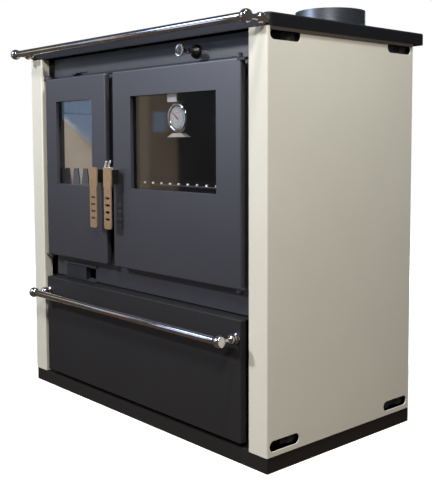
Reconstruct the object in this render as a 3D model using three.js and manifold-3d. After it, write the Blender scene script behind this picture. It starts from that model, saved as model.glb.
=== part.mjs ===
// Wood cookstove: firebox door on the left, oven door on the right, wood drawer below,
// cream folded side casings, a steel hob with a cast plate and a flue collar.
// Millimetres, +X to the right, +Y to the back, +Z up. The origin is under the middle of the whole stove.
// Inside this file Y = 0 is the front face of the cream columns; the last lines move it to the origin.

import * as THREE from 'three';
import * as BufferGeometryUtils from 'three/addons/utils/BufferGeometryUtils.js';
import Module from 'manifold-3d';

const wasm = await Module();
wasm.setup();

// ---------------------------------------------------------------- driving dimensions
const gap = 0.3;                    // clearance between two pieces that touch
const casingWidth = 850;            // over the two cream side casings
const casingDepth = 443;
const casingSheet = 2;
const columnWidth = 50;             // cream front face of each side casing
const returnDepth = 23;             // casing sheet folded back beside the doors
const rearFlange = 25;
const casingBend = 3;               // outside radius of the folds
const plinthHeight = 31;
const plinthSetback = 2.4;
const plinthSideSetback = 1.5;
const plinthSheet = 3;
const plinthRim = 28;               // flange that the stove stands on
const ventLength = 81;              // round-ended slots in the side casings
const ventHeight = 21;
const ventFrontInset = 47.5;        // slot centre from the casing's front
const ventRearInset = 50;
const ventTopInset = 13.5;
const ventBottomInset = 20;

const hobHeight = 850;              // top of the hob above the floor
const hobThickness = 25;            // height of the hob's folded edge
const hobOverhang = 2;              // hob past each casing
const hobWidth = casingWidth + 2 * hobOverhang;
const hobFront = 3;                 // behind the column faces
const hobRearReach = 35;
const hobDepth = casingDepth + hobRearReach;
const hobSheet = 4;
const hobEdgeRadius = 4;
const hobCornerRadius = 9;
const hotplateThickness = 8;
const hotplateSideInset = 42;
const hotplateLeft = -hobWidth / 2 + hotplateSideInset;
const hotplateDamperGap = 26;       // from the hotplate to the damper plate beside it
const hotplateFront = 45;
const hotplateRearInset = 51;
const hotplateBack = hobFront + hobDepth - hotplateRearInset;
const hotplateLedge = 12;
const hotplateSeamInset = 210;
const hotplateSeam = 0.4;
const lidRadius = 105;
const lidLedge = 8;
const lidThickness = 5;
const lidInset = 145;
const lidY = hotplateFront + lidInset;

const flueRadius = 77;              // outside of the collar
const flueWall = 1.8;
const flueHeight = 50;              // above the hob
const flueFlange = 13;
const flueFlangeThickness = 4;

const columnGap = 15;               // face plate to each casing
const bodyWidth = casingWidth - 2 * (columnWidth + columnGap);// welded inner body
const bodyWall = 4;
const backSheet = 2;
const backPanelBack = casingDepth - casingSheet - gap;
const bodyRearGap = 2.7;
const bodyBack = backPanelBack - backSheet - bodyRearGap;
const bodyHalf = bodyWidth / 2;
const flueSideInset = 89.5;
const flueX = bodyHalf - flueSideInset;
const flueRearInset = 84;
const flueY = bodyBack - flueRearInset;
const facePlateY = 30;              // front face of the dark face plate
const facePlateThickness = 4;
const backVentHeight = 60;
const backVentWidth = 8;
const backVentPitch = 26;
const backVentCount = 15;
const backVentInset = 35;

const doorDrop = 76.5;              // door top below the hob top
const doorTop = hobHeight - doorDrop;
const doorHeight = 436.5;
const doorBottom = doorTop - doorHeight;
const doorSideGap = 4.5;
const doorOuterInset = bodyHalf - doorSideGap;// outer edges of both doors from the middle
const fireDoorWidth = 263.5;
const fireDoorRight = -doorOuterInset + fireDoorWidth;
const doorSpacing = 28.5;
const ovenDoorLeft = fireDoorRight + doorSpacing;
const doorRim = 12;                 // depth of a door's edge
const doorPlate = 8;
const doorRimWidth = 7;
const doorEdgeRadius = 3;
const windowDrop = 56.5;
const windowTop = doorTop - windowDrop;
const windowHeight = 201;
const windowBottom = windowTop - windowHeight;
const fireWindowHingeInset = 50;
const fireWindowLeft = -doorOuterInset + fireWindowHingeInset;
const fireWindowLatchInset = 56;
const fireWindowRight = fireDoorRight - fireWindowLatchInset;
const ovenWindowLatchInset = 68.5;
const ovenWindowLeft = ovenDoorLeft + ovenWindowLatchInset;
const ovenWindowHingeInset = 69.5;
const ovenWindowRight = doorOuterInset - ovenWindowHingeInset;
const glassThickness = 4;
const glassInset = 4;               // glass edge inside its frame's edge
const frameOuterInset = 17.5;       // glass frame from the door's hinge edge
const frameLatchInset = 24;         // glass frame from the door's latch edge
const frameEndInset = 18;
const frameBar = 14;
const frameDepth = 13.4;
const gasketWidth = 8;

const pinRadius = 3;
const pinClearance = 0.3;
const pinInset = 9;                 // hinge pin from the door's outer edge
const pinY = 7;
const pinBite = 12;                 // length of pin inside the door
const pinHead = 3;
const lugRadius = 7;
const lugThickness = 5;
const lugGap = 0.8;
const lugReveal = 2;                // lug's outer end short of the casing
const hingeBoss = 20;

const handleDrop = 212.5;
const handleTop = doorTop - handleDrop;
const handleHeight = 137;
const handleWidth = 31;
const handleStemWidth = 27;         // lower, slotted part
const handleWide = 41;              // height of the wide top
const handleThickness = 3;
const handleStandoff = 25;          // front of the handle from the door face
const fireHandleInset = 15.3;       // handle centre from the door's latch edge
const ovenHandleInset = 13.1;
const handlePivotDrop = 20;         // pivot below the handle's top
const handleSlots = 4;
const handleSlotPitch = 15.7;
const handleSlotLength = 17;
const handleSlotHeight = 5;
const handleFirstSlot = 68;         // first slot below the handle's top
const gripBlockWidth = 16;
const gripBlockHeight = 30;
const spindleRadius = 5;
const camShort = 0.6;               // cam nose short of the door's latch edge
const camThickness = 3;
const keeperProngRadius = 3;
const keeperProngHeight = 15;
const keeperProngY = -5;
const keeperWidth = 27;

const drawerSideGap = 3;
const drawerInset = bodyHalf - drawerSideGap;// outer edges of the drawer front from the middle
const drawerLift = 10;
const drawerBottom = plinthHeight + drawerLift;
const drawerDrop = 57;              // drawer top below the doors
const drawerTop = doorBottom - drawerDrop;
const drawerProud = 3;              // drawer front ahead of the column faces
const drawerRim = 15;
const drawerShelf = 41;             // depth of the drawer's top face
const drawerSheet = 2;
const drawerEdgeRadius = 1.6;
const bayGap = 3;
const bayCeiling = drawerTop + bayGap;// top of the drawer bay
const binSideGap = 25;
const binInset = bodyHalf - binSideGap;
const binLift = 11;
const binBottom = drawerBottom + binLift;
const binDrop = 43;
const binHeight = drawerTop - binDrop - binBottom;
const binRearGap = 36;
const binBack = bodyBack - binRearGap;
const runnerHeight = 20;
const runnerZ = binBottom + 0.36 * binHeight;
const runnerSheet = 2;

const railRadius = 8;
const railKnobRadius = 12.5;
const railStandoff = 49;            // rail centre from what carries it, on the hob
const drawerRailStandoff = 44;
const railEndInset = 9;
const railHalf = hobWidth / 2 - railEndInset;// posts of the hob rail from the middle
const drawerRailEndInset = 11;
const drawerRailHalf = drawerInset - drawerRailEndInset;
const drawerRailDrop = 35;
const drawerRailZ = drawerTop - drawerRailDrop;
const postNeckRadius = 5;
const postBulbRadius = 10;
const postFootRadius = 10;

const brickThickness = 29.7;
const brickDrop = 13.5;
const brickTop = doorTop - brickDrop;
const grateLift = 109;
const grateHeight = doorBottom + grateLift;// top of the grate shelf
const shelfThickness = 4;
const grateBars = 9;
const grateBarWidth = 10;
const grateRim = 12;
const grateSeat = 8;                // how far the grate lies over the shelf's hole
const grateThickness = 12;
const grateSideGap = 12;
const grateFrontGap = 40;
const grateRearGap = 20;
const fireOpeningHingeInset = 30.7;
const fireOpeningLeft = -doorOuterInset + fireOpeningHingeInset;
const fireOpeningLatchInset = 36.8;
const fireOpeningRight = fireDoorRight - fireOpeningLatchInset;
const fireOpeningLift = 31;
const fireOpeningBottom = doorBottom + fireOpeningLift;
const fireOpeningDrop = 28.5;
const fireOpeningTop = doorTop - fireOpeningDrop;
const guardTeeth = 5;
const guardPitch = (fireOpeningRight - fireOpeningLeft) * 0.209;
const guardToothTop = guardPitch * 0.39;
const guardToothBase = guardPitch * 0.756;
const guardRise = 38;
const guardTop = windowBottom + guardRise;
const guardFoot = 30;               // foot that rests on the grate shelf
const guardSill = 1;
const guardRoot = windowBottom - guardSill;
const ashShelfZ = fireOpeningBottom;
const ashPanRoom = 8;
const ashPanHeight = grateHeight - shelfThickness - ashShelfZ - ashPanRoom;
const ashPanWall = 1.5;
const ashPanSideGap = 4;
const ashPanPull = 70;
const ashShelfSlot = 18;

const ovenLatchInset = 39.5;
const ovenLeft = ovenDoorLeft + ovenLatchInset;
const ovenHingeInset = 35.5;
const ovenRight = doorOuterInset - ovenHingeInset;
const ovenLift = 35;
const ovenBottom = doorBottom + ovenLift;
const ovenDrop = 31.5;
const ovenTop = doorTop - ovenDrop;
const ovenRearGap = 41;
const ovenBack = bodyBack - ovenRearGap;
const ovenWall = 3;
const ovenWebInset = 22;
const rackLift = 8;
const rackZ = windowBottom + rackLift;
const rackFront = 45;
const rackRearGap = 12;
const rackBack = ovenBack - rackRearGap;
const rackWire = 2.2;
const rackFrameWire = 3;
const rackPitch = 30;
const rackRunnerWidth = 8;

const dialOffset = 11.5;
const dialX = (ovenWindowLeft + ovenWindowRight) / 2 - dialOffset;
const dialDrop = 49;
const dialZ = windowTop - dialDrop;
const dialRadius = 32;
const dialDepth = 12;
const dialFront = 24;
const hangerWidth = 31;
const hangerOffset = 13;            // hanger strip left of the dial's middle
const hangerSheet = 1.5;
const hangerFront = 15.5;
const dialFootHeight = 8;

const airSlotInset = 88;
const airSlotLeft = -bodyHalf + airSlotInset;
const airSlotLength = 66;
const airSlotRight = airSlotLeft + airSlotLength;
const airSlotDrop = 70;
const airSlotBottom = hobHeight - airSlotDrop;
const airSlotHeight = 6;
const airTongueWidth = 28;
const airTongueReach = 12;
const airTongueThickness = 3.5;
const airSlideHeight = 20;
const airSlideThickness = 2;
const airTravel = 30;

const shutterInset = 54.7;
const shutterLeft = -bodyHalf + shutterInset;
const shutterWidth = 89.3;
const shutterDrop = 21;
const shutterTop = doorBottom - shutterDrop;
const shutterHeight = 30;
const shutterFlange = 2.5;          // lip that runs behind each guide
const shutterSheet = 2;
const shutterThickness = 7;
const shutterOpening = 30;

const damperOffset = 75.9;
const damperX = flueX - damperOffset;
const damperDrop = 51;
const damperZ = hobHeight - damperDrop;
const damperRodRadius = 3.5;
const damperKnobRadius = 13;
const damperKnobFront = -16;
const damperRingY = 7;
const damperRingRadius = 5.5;
const damperBushRadius = 14;
const damperPlateThickness = 2.5;
const damperPlateDepth = 110;
const damperPlateLead = 84;
const damperPlateFront = flueY - damperPlateLead;
const damperTravel = 50;
const damperPlateLeftReach = 94.5;
const damperPlateLeft = flueX - damperPlateLeftReach;
const damperPlateRightReach = 81.5;
const damperPlateRight = flueX + damperPlateRightReach;
const hotplateRight = damperPlateLeft - hotplateDamperGap;

// ---------------------------------------------------------------- heights and faces worked out from them
const hobUnder = hobHeight - hobThickness;
const bodyTop = hobUnder - gap;
const bodyInner = bodyHalf - bodyWall;
const facePlateBack = facePlateY + facePlateThickness;
const bodyFront = facePlateBack + gap;
const casingHalf = casingWidth / 2;
const plinthTop = plinthHeight;
const casingBottom = plinthTop + gap;
const frameFront = doorPlate + glassThickness + 2 * gap;
const frameBack = frameFront + frameDepth;
const handlePivotZ = handleTop - handlePivotDrop;
const fireHandleX = fireDoorRight - fireHandleInset;
const ovenHandleX = ovenDoorLeft + ovenHandleInset;
const dividerRight = fireOpeningRight + brickThickness + 2 * gap + shelfThickness;
const brickLeftFace = fireOpeningLeft - gap;
const keeperX = (fireDoorRight + ovenDoorLeft) / 2;
const hingeX = doorOuterInset - pinInset;

// ---------------------------------------------------------------- paints and metals
function paint(color, roughness, metalness = 0) {
  return new THREE.MeshStandardMaterial({ color, roughness, metalness });
}
const creamPaint = () => paint(0xd9d6c8, 0.45);
const darkPaint = () => paint(0x45464d, 0.5, 0.2);
const blackPaint = () => paint(0x222226, 0.6, 0.1);
const castIron = () => paint(0x2b2d31, 0.7, 0.6);
const sheetSteel = () => paint(0x3a3b3e, 0.55, 0.6);
const chrome = () => paint(0xd6d3d0, 0.12, 1);
const satinBronze = () => paint(0xc2a27c, 0.4, 0.5);
const fireclay = () => paint(0xbfa582, 0.95);
const ropeFibre = () => paint(0x4b4a47, 0.95);
const dialWhite = () => paint(0xe9ebea, 0.6);
const needleRed = () => paint(0xb8322a, 0.5);
function clearGlass() {
  const color = 0x9fb0b8;
  return new THREE.MeshStandardMaterial({ color, roughness: 0.05, transparent: true, opacity: 0.3 });
}

// ---------------------------------------------------------------- solids
function solid(geometry) {
  const bare = geometry.clone();
  bare.deleteAttribute('normal');
  bare.deleteAttribute('uv');
  const merged = BufferGeometryUtils.mergeVertices(bare, 1e-4);
  return new wasm.Manifold(new wasm.Mesh({
    numProp: 3,
    vertProperties: new Float32Array(merged.attributes.position.array),
    triVerts: new Uint32Array(merged.index.array),
  }));
}

function geometryOf(body) {
  const mesh = body.getMesh();
  const geometry = new THREE.BufferGeometry();
  geometry.setAttribute('position', new THREE.BufferAttribute(new Float32Array(mesh.vertProperties), 3));
  geometry.setIndex(new THREE.BufferAttribute(new Uint32Array(mesh.triVerts), 1));
  geometry.computeVertexNormals();
  return geometry;
}

function join(...bodies) {
  return bodies.reduce((sum, body) => sum.add(body));
}

function cut(body, ...tools) {
  return tools.reduce((rest, tool) => rest.subtract(tool), body);
}

function block(x0, x1, y0, y1, z0, z1) {
  const geometry = new THREE.BoxGeometry(x1 - x0, y1 - y0, z1 - z0);
  geometry.translate((x0 + x1) / 2, (y0 + y1) / 2, (z0 + z1) / 2);
  return solid(geometry);
}

// A bar between two points along one axis: 'x', 'y' or 'z'.
function bar(axis, from, to, a, b, radius, sides = 24) {
  const geometry = new THREE.CylinderGeometry(radius, radius, to - from, sides);
  const middle = (from + to) / 2;
  if (axis === 'x') geometry.rotateZ(-Math.PI / 2).translate(middle, a, b);
  if (axis === 'y') geometry.translate(a, middle, b);
  if (axis === 'z') geometry.rotateX(Math.PI / 2).translate(a, b, middle);
  return solid(geometry);
}

// A shape drawn in X and Z, given its depth along Y.
function alongY(shape, y0, y1, curveSegments = 8) {
  const geometry = new THREE.ExtrudeGeometry(shape, { depth: y1 - y0, bevelEnabled: false, curveSegments });
  geometry.rotateX(Math.PI / 2).translate(0, y1, 0);
  return solid(geometry);
}

// The same, drawn in X and Y and raised along Z.
function alongZ(shape, z0, z1, curveSegments = 8) {
  const geometry = new THREE.ExtrudeGeometry(shape, { depth: z1 - z0, bevelEnabled: false, curveSegments });
  geometry.translate(0, 0, z0);
  return solid(geometry);
}

function rectangle(x0, x1, y0, y1, radius = 0) {
  const shape = new THREE.Shape();
  if (radius === 0) {
    shape.moveTo(x0, y0).lineTo(x1, y0).lineTo(x1, y1).lineTo(x0, y1).closePath();
    return shape;
  }
  shape.moveTo(x0 + radius, y0);
  shape.lineTo(x1 - radius, y0).absarc(x1 - radius, y0 + radius, radius, -Math.PI / 2, 0);
  shape.lineTo(x1, y1 - radius).absarc(x1 - radius, y1 - radius, radius, 0, Math.PI / 2);
  shape.lineTo(x0 + radius, y1).absarc(x0 + radius, y1 - radius, radius, Math.PI / 2, Math.PI);
  shape.lineTo(x0, y0 + radius).absarc(x0 + radius, y0 + radius, radius, Math.PI, 1.5 * Math.PI);
  return shape;
}

// A plate whose front edges are rounded: a bevelled extrusion along Y, cut flat at the back.
function roundedFront(x0, x1, z0, z1, y0, y1, radius) {
  const past = radius + 1;
  const geometry = new THREE.ExtrudeGeometry(rectangle(x0, x1, z0, z1, radius + 1), {
    depth: y1 - y0 - radius + past,
    bevelSize: radius,
    bevelOffset: -radius,
    bevelThickness: radius,
    bevelSegments: 3,
    curveSegments: 2,
  });
  geometry.rotateX(Math.PI / 2).translate(0, y1 + past, 0);
  return cut(solid(geometry), block(x0 - 1, x1 + 1, y1, y1 + 3 * past, z0 - 1, z1 + 1));
}

// A ring between two upright rectangles, with a depth along Y.
function ringAlongY(x0, x1, z0, z1, width, y0, y1) {
  return cut(block(x0, x1, y0, y1, z0, z1),
    block(x0 + width, x1 - width, y0 - 1, y1 + 1, z0 + width, z1 - width));
}

// A turned piece about an axis along Y: profile points are [radius, y], from the front to the back.
function turnedY(profile, x, z, sides = 24) {
  const points = profile.map(([radius, y]) => new THREE.Vector2(radius, y));
  const geometry = new THREE.LatheGeometry(points, sides);
  geometry.translate(x, 0, z);
  return solid(geometry);
}

// Arc of a profile: radius r about a point on the axis at y, between two angles from the +Y axis.
function profileArc(r, y, from, to, steps) {
  return Array.from({ length: steps + 1 }, (_, i) => {
    const angle = from + ((to - from) * i) / steps;
    return [r * Math.sin(angle), y + r * Math.cos(angle)];
  });
}

// The outline of a sheet folded along a line of points, all its folds turning the same way (left).
// The points run along the sheet's outer face; the sheet's thickness lies to their left.
function foldedSheet(points, thickness, bend) {
  const shape = new THREE.Shape();
  const outer = [];
  const inner = [];
  for (let i = 0; i < points.length; i += 1) {
    const here = new THREE.Vector2(...points[i]);
    const before = i > 0 ? here.clone().sub(new THREE.Vector2(...points[i - 1])).normalize() : null;
    const after = i < points.length - 1
      ? new THREE.Vector2(...points[i + 1]).sub(here).normalize() : null;
    if (!before || !after) {
      const run = before || after;
      const left = new THREE.Vector2(-run.y, run.x);
      outer.push(here);
      inner.push(here.clone().addScaledVector(left, thickness));
      continue;
    }
    const centre = here.clone().addScaledVector(before, -bend).addScaledVector(after, bend);
    const start = Math.atan2(-before.x, before.y);
    for (let step = 0; step <= 4; step += 1) {
      const angle = start + (Math.PI / 2) * (step / 4);
      const out = new THREE.Vector2(Math.cos(angle), Math.sin(angle));
      outer.push(centre.clone().addScaledVector(out, bend));
      inner.push(centre.clone().addScaledVector(out, bend - thickness));
    }
  }
  const outline = [...outer, ...inner.reverse()];
  shape.setFromPoints(outline);
  return shape;
}

// ---------------------------------------------------------------- the assembly
const stove = new THREE.Group();

function add(name, body, material) {
  const mesh = new THREE.Mesh(geometryOf(body), material);
  mesh.name = name;
  stove.add(mesh);
}

// ---------------------------------------------------------------- plinth and casings
function plinth() {
  const half = casingHalf - plinthSideSetback;
  const outer = block(-half, half, plinthSetback, casingDepth, 0, plinthTop);
  const hollow = block(-half + plinthSheet, half - plinthSheet, plinthSetback + plinthSheet,
    casingDepth - plinthSheet, plinthSheet, plinthTop - plinthSheet);
  const underside = block(-half + plinthRim, half - plinthRim, plinthSetback + plinthRim,
    casingDepth - plinthRim, -1, plinthSheet + 1);
  return cut(outer, hollow, underside);
}

function ventSlot(y, z) {
  const radius = ventHeight / 2;
  const shape = rectangle(y - ventLength / 2, y + ventLength / 2, z - radius, z + radius, radius - 0.01);
  const settings = { depth: columnWidth, bevelEnabled: false, curveSegments: 3 };
  const geometry = new THREE.ExtrudeGeometry(shape, settings);
  geometry.rotateX(Math.PI / 2).rotateZ(Math.PI / 2).translate(casingHalf - columnWidth / 2, 0, 0);
  return solid(geometry);
}

// The right casing; the left one is its mirror image.
function sideCasing() {
  const columnInner = casingHalf - columnWidth;
  const path = [
    [columnInner, returnDepth],
    [columnInner, 0],
    [casingHalf, 0],
    [casingHalf, casingDepth],
    [casingHalf - rearFlange, casingDepth],
  ];
  const sheet = alongZ(foldedSheet(path, casingSheet, casingBend), casingBottom, bodyTop);
  const slots = [ventFrontInset, casingDepth - ventRearInset].flatMap((y) => [
    ventSlot(y, hobUnder - ventTopInset),
    ventSlot(y, plinthTop + ventBottomInset),
  ]);
  return cut(sheet, ...slots);
}

function backPanel() {
  const half = casingHalf - casingSheet - gap;
  const y1 = backPanelBack;
  const panel = block(-half, half, y1 - backSheet, y1, casingBottom, bodyTop);
  const first = -((backVentCount - 1) * backVentPitch) / 2;
  const vents = [];
  for (let i = 0; i < backVentCount; i += 1) {
    const x = first + i * backVentPitch;
    const lower = casingBottom + backVentInset + backVentHeight / 2;
    for (const z of [lower, bodyTop - backVentInset - backVentHeight / 2]) {
      const shape = rectangle(x - backVentWidth / 2, x + backVentWidth / 2,
        z - backVentHeight / 2, z + backVentHeight / 2, backVentWidth / 2 - 0.01);
      vents.push(alongY(shape, y1 - backSheet - 1, y1 + 1, 1));
    }
  }
  return cut(panel, ...vents);
}

// ---------------------------------------------------------------- hob
function hobFrame() {
  const half = hobWidth / 2;
  const y0 = hobFront;
  const y1 = hobFront + hobDepth;
  const outline = rectangle(-half, half, y0, y1, hobCornerRadius);
  const geometry = new THREE.ExtrudeGeometry(outline, {
    depth: hobThickness,
    bevelSize: hobEdgeRadius,
    bevelOffset: -hobEdgeRadius,
    bevelThickness: hobEdgeRadius,
    bevelSegments: 3,
    curveSegments: 3,
  });
  geometry.translate(0, 0, hobHeight - hobThickness - hobEdgeRadius);
  const shell = cut(solid(geometry), block(-half - 1, half + 1, y0 - 1, y1 + 1, 0, hobUnder));
  const hollow = block(-half + hobSheet, half - hobSheet, y0 + hobSheet, y1 - hobSheet,
    hobUnder - 1, hobHeight - hobSheet);
  const wellWall = hobSheet;
  const wellBottom = hobHeight - hotplateThickness - hobSheet;
  const well = block(hotplateLeft - wellWall, hotplateRight + wellWall, hotplateFront - wellWall,
    hotplateBack + wellWall, wellBottom, hobHeight - hobSheet + 1);
  const recess = block(hotplateLeft, hotplateRight, hotplateFront, hotplateBack,
    hobHeight - hotplateThickness, hobHeight + 1);
  const through = block(hotplateLeft + hotplateLedge, hotplateRight - hotplateLedge,
    hotplateFront + hotplateLedge, hotplateBack - hotplateLedge, wellBottom - 1, hobHeight + 1);
  const flueHole = bar('z', hobHeight - hobSheet - 1, hobHeight + 1, flueX, flueY, flueRadius + gap, 48);
  return cut(join(cut(shell, hollow), well, damperRail(damperPlateLeft, -1), damperRail(damperPlateRight, 1)),
    recess, through, flueHole);
}

const lidX = (fireWindowLeft + fireWindowRight) / 2;

function hotplate() {
  const z0 = hobHeight - hotplateThickness + gap;
  const plate = block(hotplateLeft + gap, hotplateRight - gap, hotplateFront + gap, hotplateBack - gap,
    z0, hobHeight);
  const seat = bar('z', hobHeight - lidThickness - gap, hobHeight + 1, lidX, lidY, lidRadius, 48);
  const hole = bar('z', z0 - 1, hobHeight + 1, lidX, lidY, lidRadius - lidLedge, 48);
  const seamX = hotplateRight - hotplateSeamInset;
  const split = block(seamX - hotplateSeam, seamX, hotplateFront - 1, hotplateBack + 1,
    hobHeight - hotplateThickness / 4, hobHeight + 1);
  return cut(plate, seat, hole, split);
}

function hotplateLid() {
  const radius = lidRadius - gap;
  const disc = bar('z', hobHeight - lidThickness, hobHeight, lidX, lidY, radius, 48);
  const slot = block(lidX - 16, lidX + 16, lidY + radius * 0.6, lidY + radius * 0.6 + 12,
    hobHeight - 3, hobHeight + 1);
  const groove = cut(bar('z', hobHeight - 1, hobHeight + 1, lidX, lidY, radius * 0.5, 48),
    bar('z', hobHeight - 2, hobHeight + 2, lidX, lidY, radius * 0.5 - 3, 48));
  return cut(disc, slot, groove);
}

function flueCollar() {
  const z0 = hobHeight - hobSheet;
  const tube = bar('z', z0, hobHeight + flueHeight, flueX, flueY, flueRadius, 48);
  const flange = bar('z', hobHeight + gap, hobHeight + gap + flueFlangeThickness, flueX, flueY,
    flueRadius + flueFlange, 48);
  const bore = bar('z', z0 - 1, hobHeight + flueHeight + 1, flueX, flueY, flueRadius - flueWall, 48);
  return cut(join(tube, flange), bore);
}

// ---------------------------------------------------------------- welded inner body and face plate
function innerBody() {
  const shell = block(-bodyHalf, bodyHalf, bodyFront, bodyBack, casingBottom, bodyTop);
  const above = block(-bodyInner, bodyInner, bodyFront - 1, bodyBack - bodyWall,
    bayCeiling + bodyWall, bodyTop + 1);
  const below = block(-bodyInner, bodyInner, bodyFront - 1, bodyBack - bodyWall,
    casingBottom - 1, bayCeiling);
  return join(cut(shell, above, below), fixedRunner(-1), fixedRunner(1));
}

const shutterOpeningLeft = shutterLeft + shutterWidth + 2;

// The dark plate behind the doors carries the hinge lugs and the guides of both air controls.
function facePlate() {
  const lugs = [-1, 1].flatMap((side) => [hingeLug(side, -1), hingeLug(side, 1)]);
  const sheet = block(-bodyHalf, bodyHalf, facePlateY, facePlateBack, bayCeiling, bodyTop);
  const plate = join(sheet, ...airGuides(), ...shutterGuides(), ...lugs);
  const y0 = facePlateY - 1;
  const y1 = facePlateBack + 1;
  return cut(plate,
    block(fireOpeningLeft, fireOpeningRight, y0, y1, fireOpeningBottom, fireOpeningTop),
    block(ovenLeft, ovenRight, y0, y1, ovenBottom, ovenTop),
    block(airSlotLeft, airSlotRight, y0, y1, airSlotBottom, airSlotBottom + airSlotHeight),
    block(shutterOpeningLeft, shutterOpeningLeft + shutterOpening, y0, y1,
      shutterTop - shutterHeight + 3, shutterTop - 3),
    bar('y', y0, y1, damperX, damperZ, damperBushRadius - 3 + gap, 24));
}

// ---------------------------------------------------------------- firebox
function brick(x0, x1, y0, y1) {
  return block(x0, x1, y0, y1, grateHeight + gap, brickTop);
}

function fireboxDivider() {
  return block(dividerRight - shelfThickness, dividerRight, bodyFront, bodyBack - bodyWall - gap,
    bayCeiling + bodyWall + gap, brickTop);
}

const dividerLeft = dividerRight - shelfThickness;
const backBrickFront = bodyBack - bodyWall - gap - brickThickness;
const grateX0 = brickLeftFace + grateSideGap;
const grateX1 = fireOpeningRight - grateSideGap;
const grateY0 = bodyFront + grateFrontGap;
const grateY1 = backBrickFront - grateRearGap;

function grateShelf() {
  const shelf = block(-bodyInner + gap, dividerLeft - gap, bodyFront + gap, bodyBack - bodyWall - gap,
    grateHeight - shelfThickness, grateHeight);
  const hole = block(grateX0 + grateSeat, grateX1 - grateSeat, grateY0 + grateSeat, grateY1 - grateSeat,
    0, grateHeight + 1);
  return cut(shelf, hole);
}

function fireGrate() {
  const z0 = grateHeight + gap;
  const z1 = z0 + grateThickness;
  const frame = cut(block(grateX0, grateX1, grateY0, grateY1, z0, z1),
    block(grateX0 + grateRim, grateX1 - grateRim, grateY0 + grateRim, grateY1 - grateRim, z0 - 1, z1 + 1));
  const pitch = (grateX1 - grateX0 - 2 * grateRim) / (grateBars + 1);
  const bars = [];
  for (let i = 1; i <= grateBars; i += 1) {
    const x = grateX0 + grateRim + i * pitch;
    bars.push(block(x - grateBarWidth / 2, x + grateBarWidth / 2, grateY0 + grateRim / 2,
      grateY1 - grateRim / 2, z0, z1));
  }
  return join(frame, ...bars);
}

// A comb of tapered teeth that keeps the logs off the glass; it stands in the face plate's opening.
function logGuard() {
  const middle = (fireOpeningLeft + fireOpeningRight) / 2;
  const x0 = fireOpeningLeft + gap;
  const x1 = fireOpeningRight - gap;
  const shape = new THREE.Shape();
  const z0 = grateHeight + gap;
  shape.moveTo(x0, z0).lineTo(x1, z0).lineTo(x1, guardRoot);
  for (let i = guardTeeth - 1; i >= 0; i -= 1) {
    const x = middle + (i - (guardTeeth - 1) / 2) * guardPitch;
    shape.lineTo(x + guardToothBase / 2, guardRoot).lineTo(x + guardToothTop / 2, guardTop);
    shape.lineTo(x - guardToothTop / 2, guardTop).lineTo(x - guardToothBase / 2, guardRoot);
  }
  shape.lineTo(x0, guardRoot).closePath();
  const foot = block(x0, x1, facePlateY + guardFoot / 10, bodyFront + guardFoot, z0, z0 + guardFoot / 10);
  return join(alongY(shape, facePlateY, facePlateBack), foot);
}

// The ash pan stands on it; the two slots beside the pan let the primary air up to the grate.
function ashShelf() {
  const left = -bodyInner + gap;
  const right = dividerLeft - gap;
  const shelf = block(left, right, bodyFront + gap, bodyBack - bodyWall - gap,
    ashShelfZ - shelfThickness, ashShelfZ);
  const slot = (x0) => block(x0, x0 + ashShelfSlot, grateY0, backBrickFront, 0, ashShelfZ + 1);
  return cut(shelf, slot(left + ashShelfSlot / 2), slot(right - 1.5 * ashShelfSlot));
}

function ashPan() {
  const x0 = fireOpeningLeft + ashPanSideGap;
  const x1 = fireOpeningRight - ashPanSideGap;
  const y0 = facePlateBack + 2 * ashPanSideGap;
  const y1 = backBrickFront;
  const z0 = ashShelfZ + gap;
  const z1 = z0 + ashPanHeight;
  const pan = cut(block(x0, x1, y0, y1, z0, z1),
    block(x0 + ashPanWall, x1 - ashPanWall, y0 + ashPanWall, y1 - ashPanWall, z0 + ashPanWall, z1 + 1));
  const middle = (x0 + x1) / 2;
  const pull = block(middle - ashPanPull / 2, middle + ashPanPull / 2, y0 - 1.5 * ashPanSideGap,
    y0 + ashPanWall / 2, z1 - 2 * ashPanWall, z1);
  return join(pan, pull);
}

// ---------------------------------------------------------------- oven
// The liner stands on two webs on the body's floor, and the rack lies on a runner welded to each side.
function ovenLiner() {
  const outer = block(ovenLeft - ovenWall, ovenRight + ovenWall, bodyFront, ovenBack + ovenWall,
    ovenBottom - ovenWall, ovenTop + ovenWall);
  const cavity = block(ovenLeft, ovenRight, bodyFront - 1, ovenBack, ovenBottom, ovenTop);
  const webBottom = bayCeiling + bodyWall + gap;
  const web = (x) => block(x - ovenWall / 2, x + ovenWall / 2, bodyFront + ovenWebInset, ovenBack, webBottom,
    ovenBottom - ovenWall / 2);
  const runnerTop = rackZ - rackFrameWire - gap;
  const runner = (x0, x1) => block(x0, x1, bodyFront + 4, ovenBack - 4, runnerTop - 4, runnerTop);
  return join(cut(outer, cavity), web(ovenLeft + ovenWebInset), web(ovenRight - ovenWebInset),
    runner(ovenLeft - 1, ovenLeft + rackRunnerWidth), runner(ovenRight - rackRunnerWidth, ovenRight + 1));
}

function ovenRack() {
  const x0 = ovenLeft + 4 + rackFrameWire;
  const x1 = ovenRight - 4 - rackFrameWire;
  const side = (x) => bar('y', rackFront, rackBack, x, rackZ, rackFrameWire, 8);
  const cross = (y) => bar('x', x0, x1, y, rackZ, rackFrameWire, 8);
  const middle = (x0 + x1) / 2;
  const count = Math.floor((x1 - x0 - 12) / rackPitch / 2);
  const wires = [];
  for (let i = -count; i <= count; i += 1) {
    wires.push(bar('y', rackFront - 4, rackBack + 4, middle + i * rackPitch,
      rackZ + rackFrameWire + rackWire - 0.6, rackWire, 6));
  }
  return join(side(x0), side(x1), cross(rackFront), cross((rackFront + rackBack) / 2), cross(rackBack),
    ...wires);
}

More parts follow.
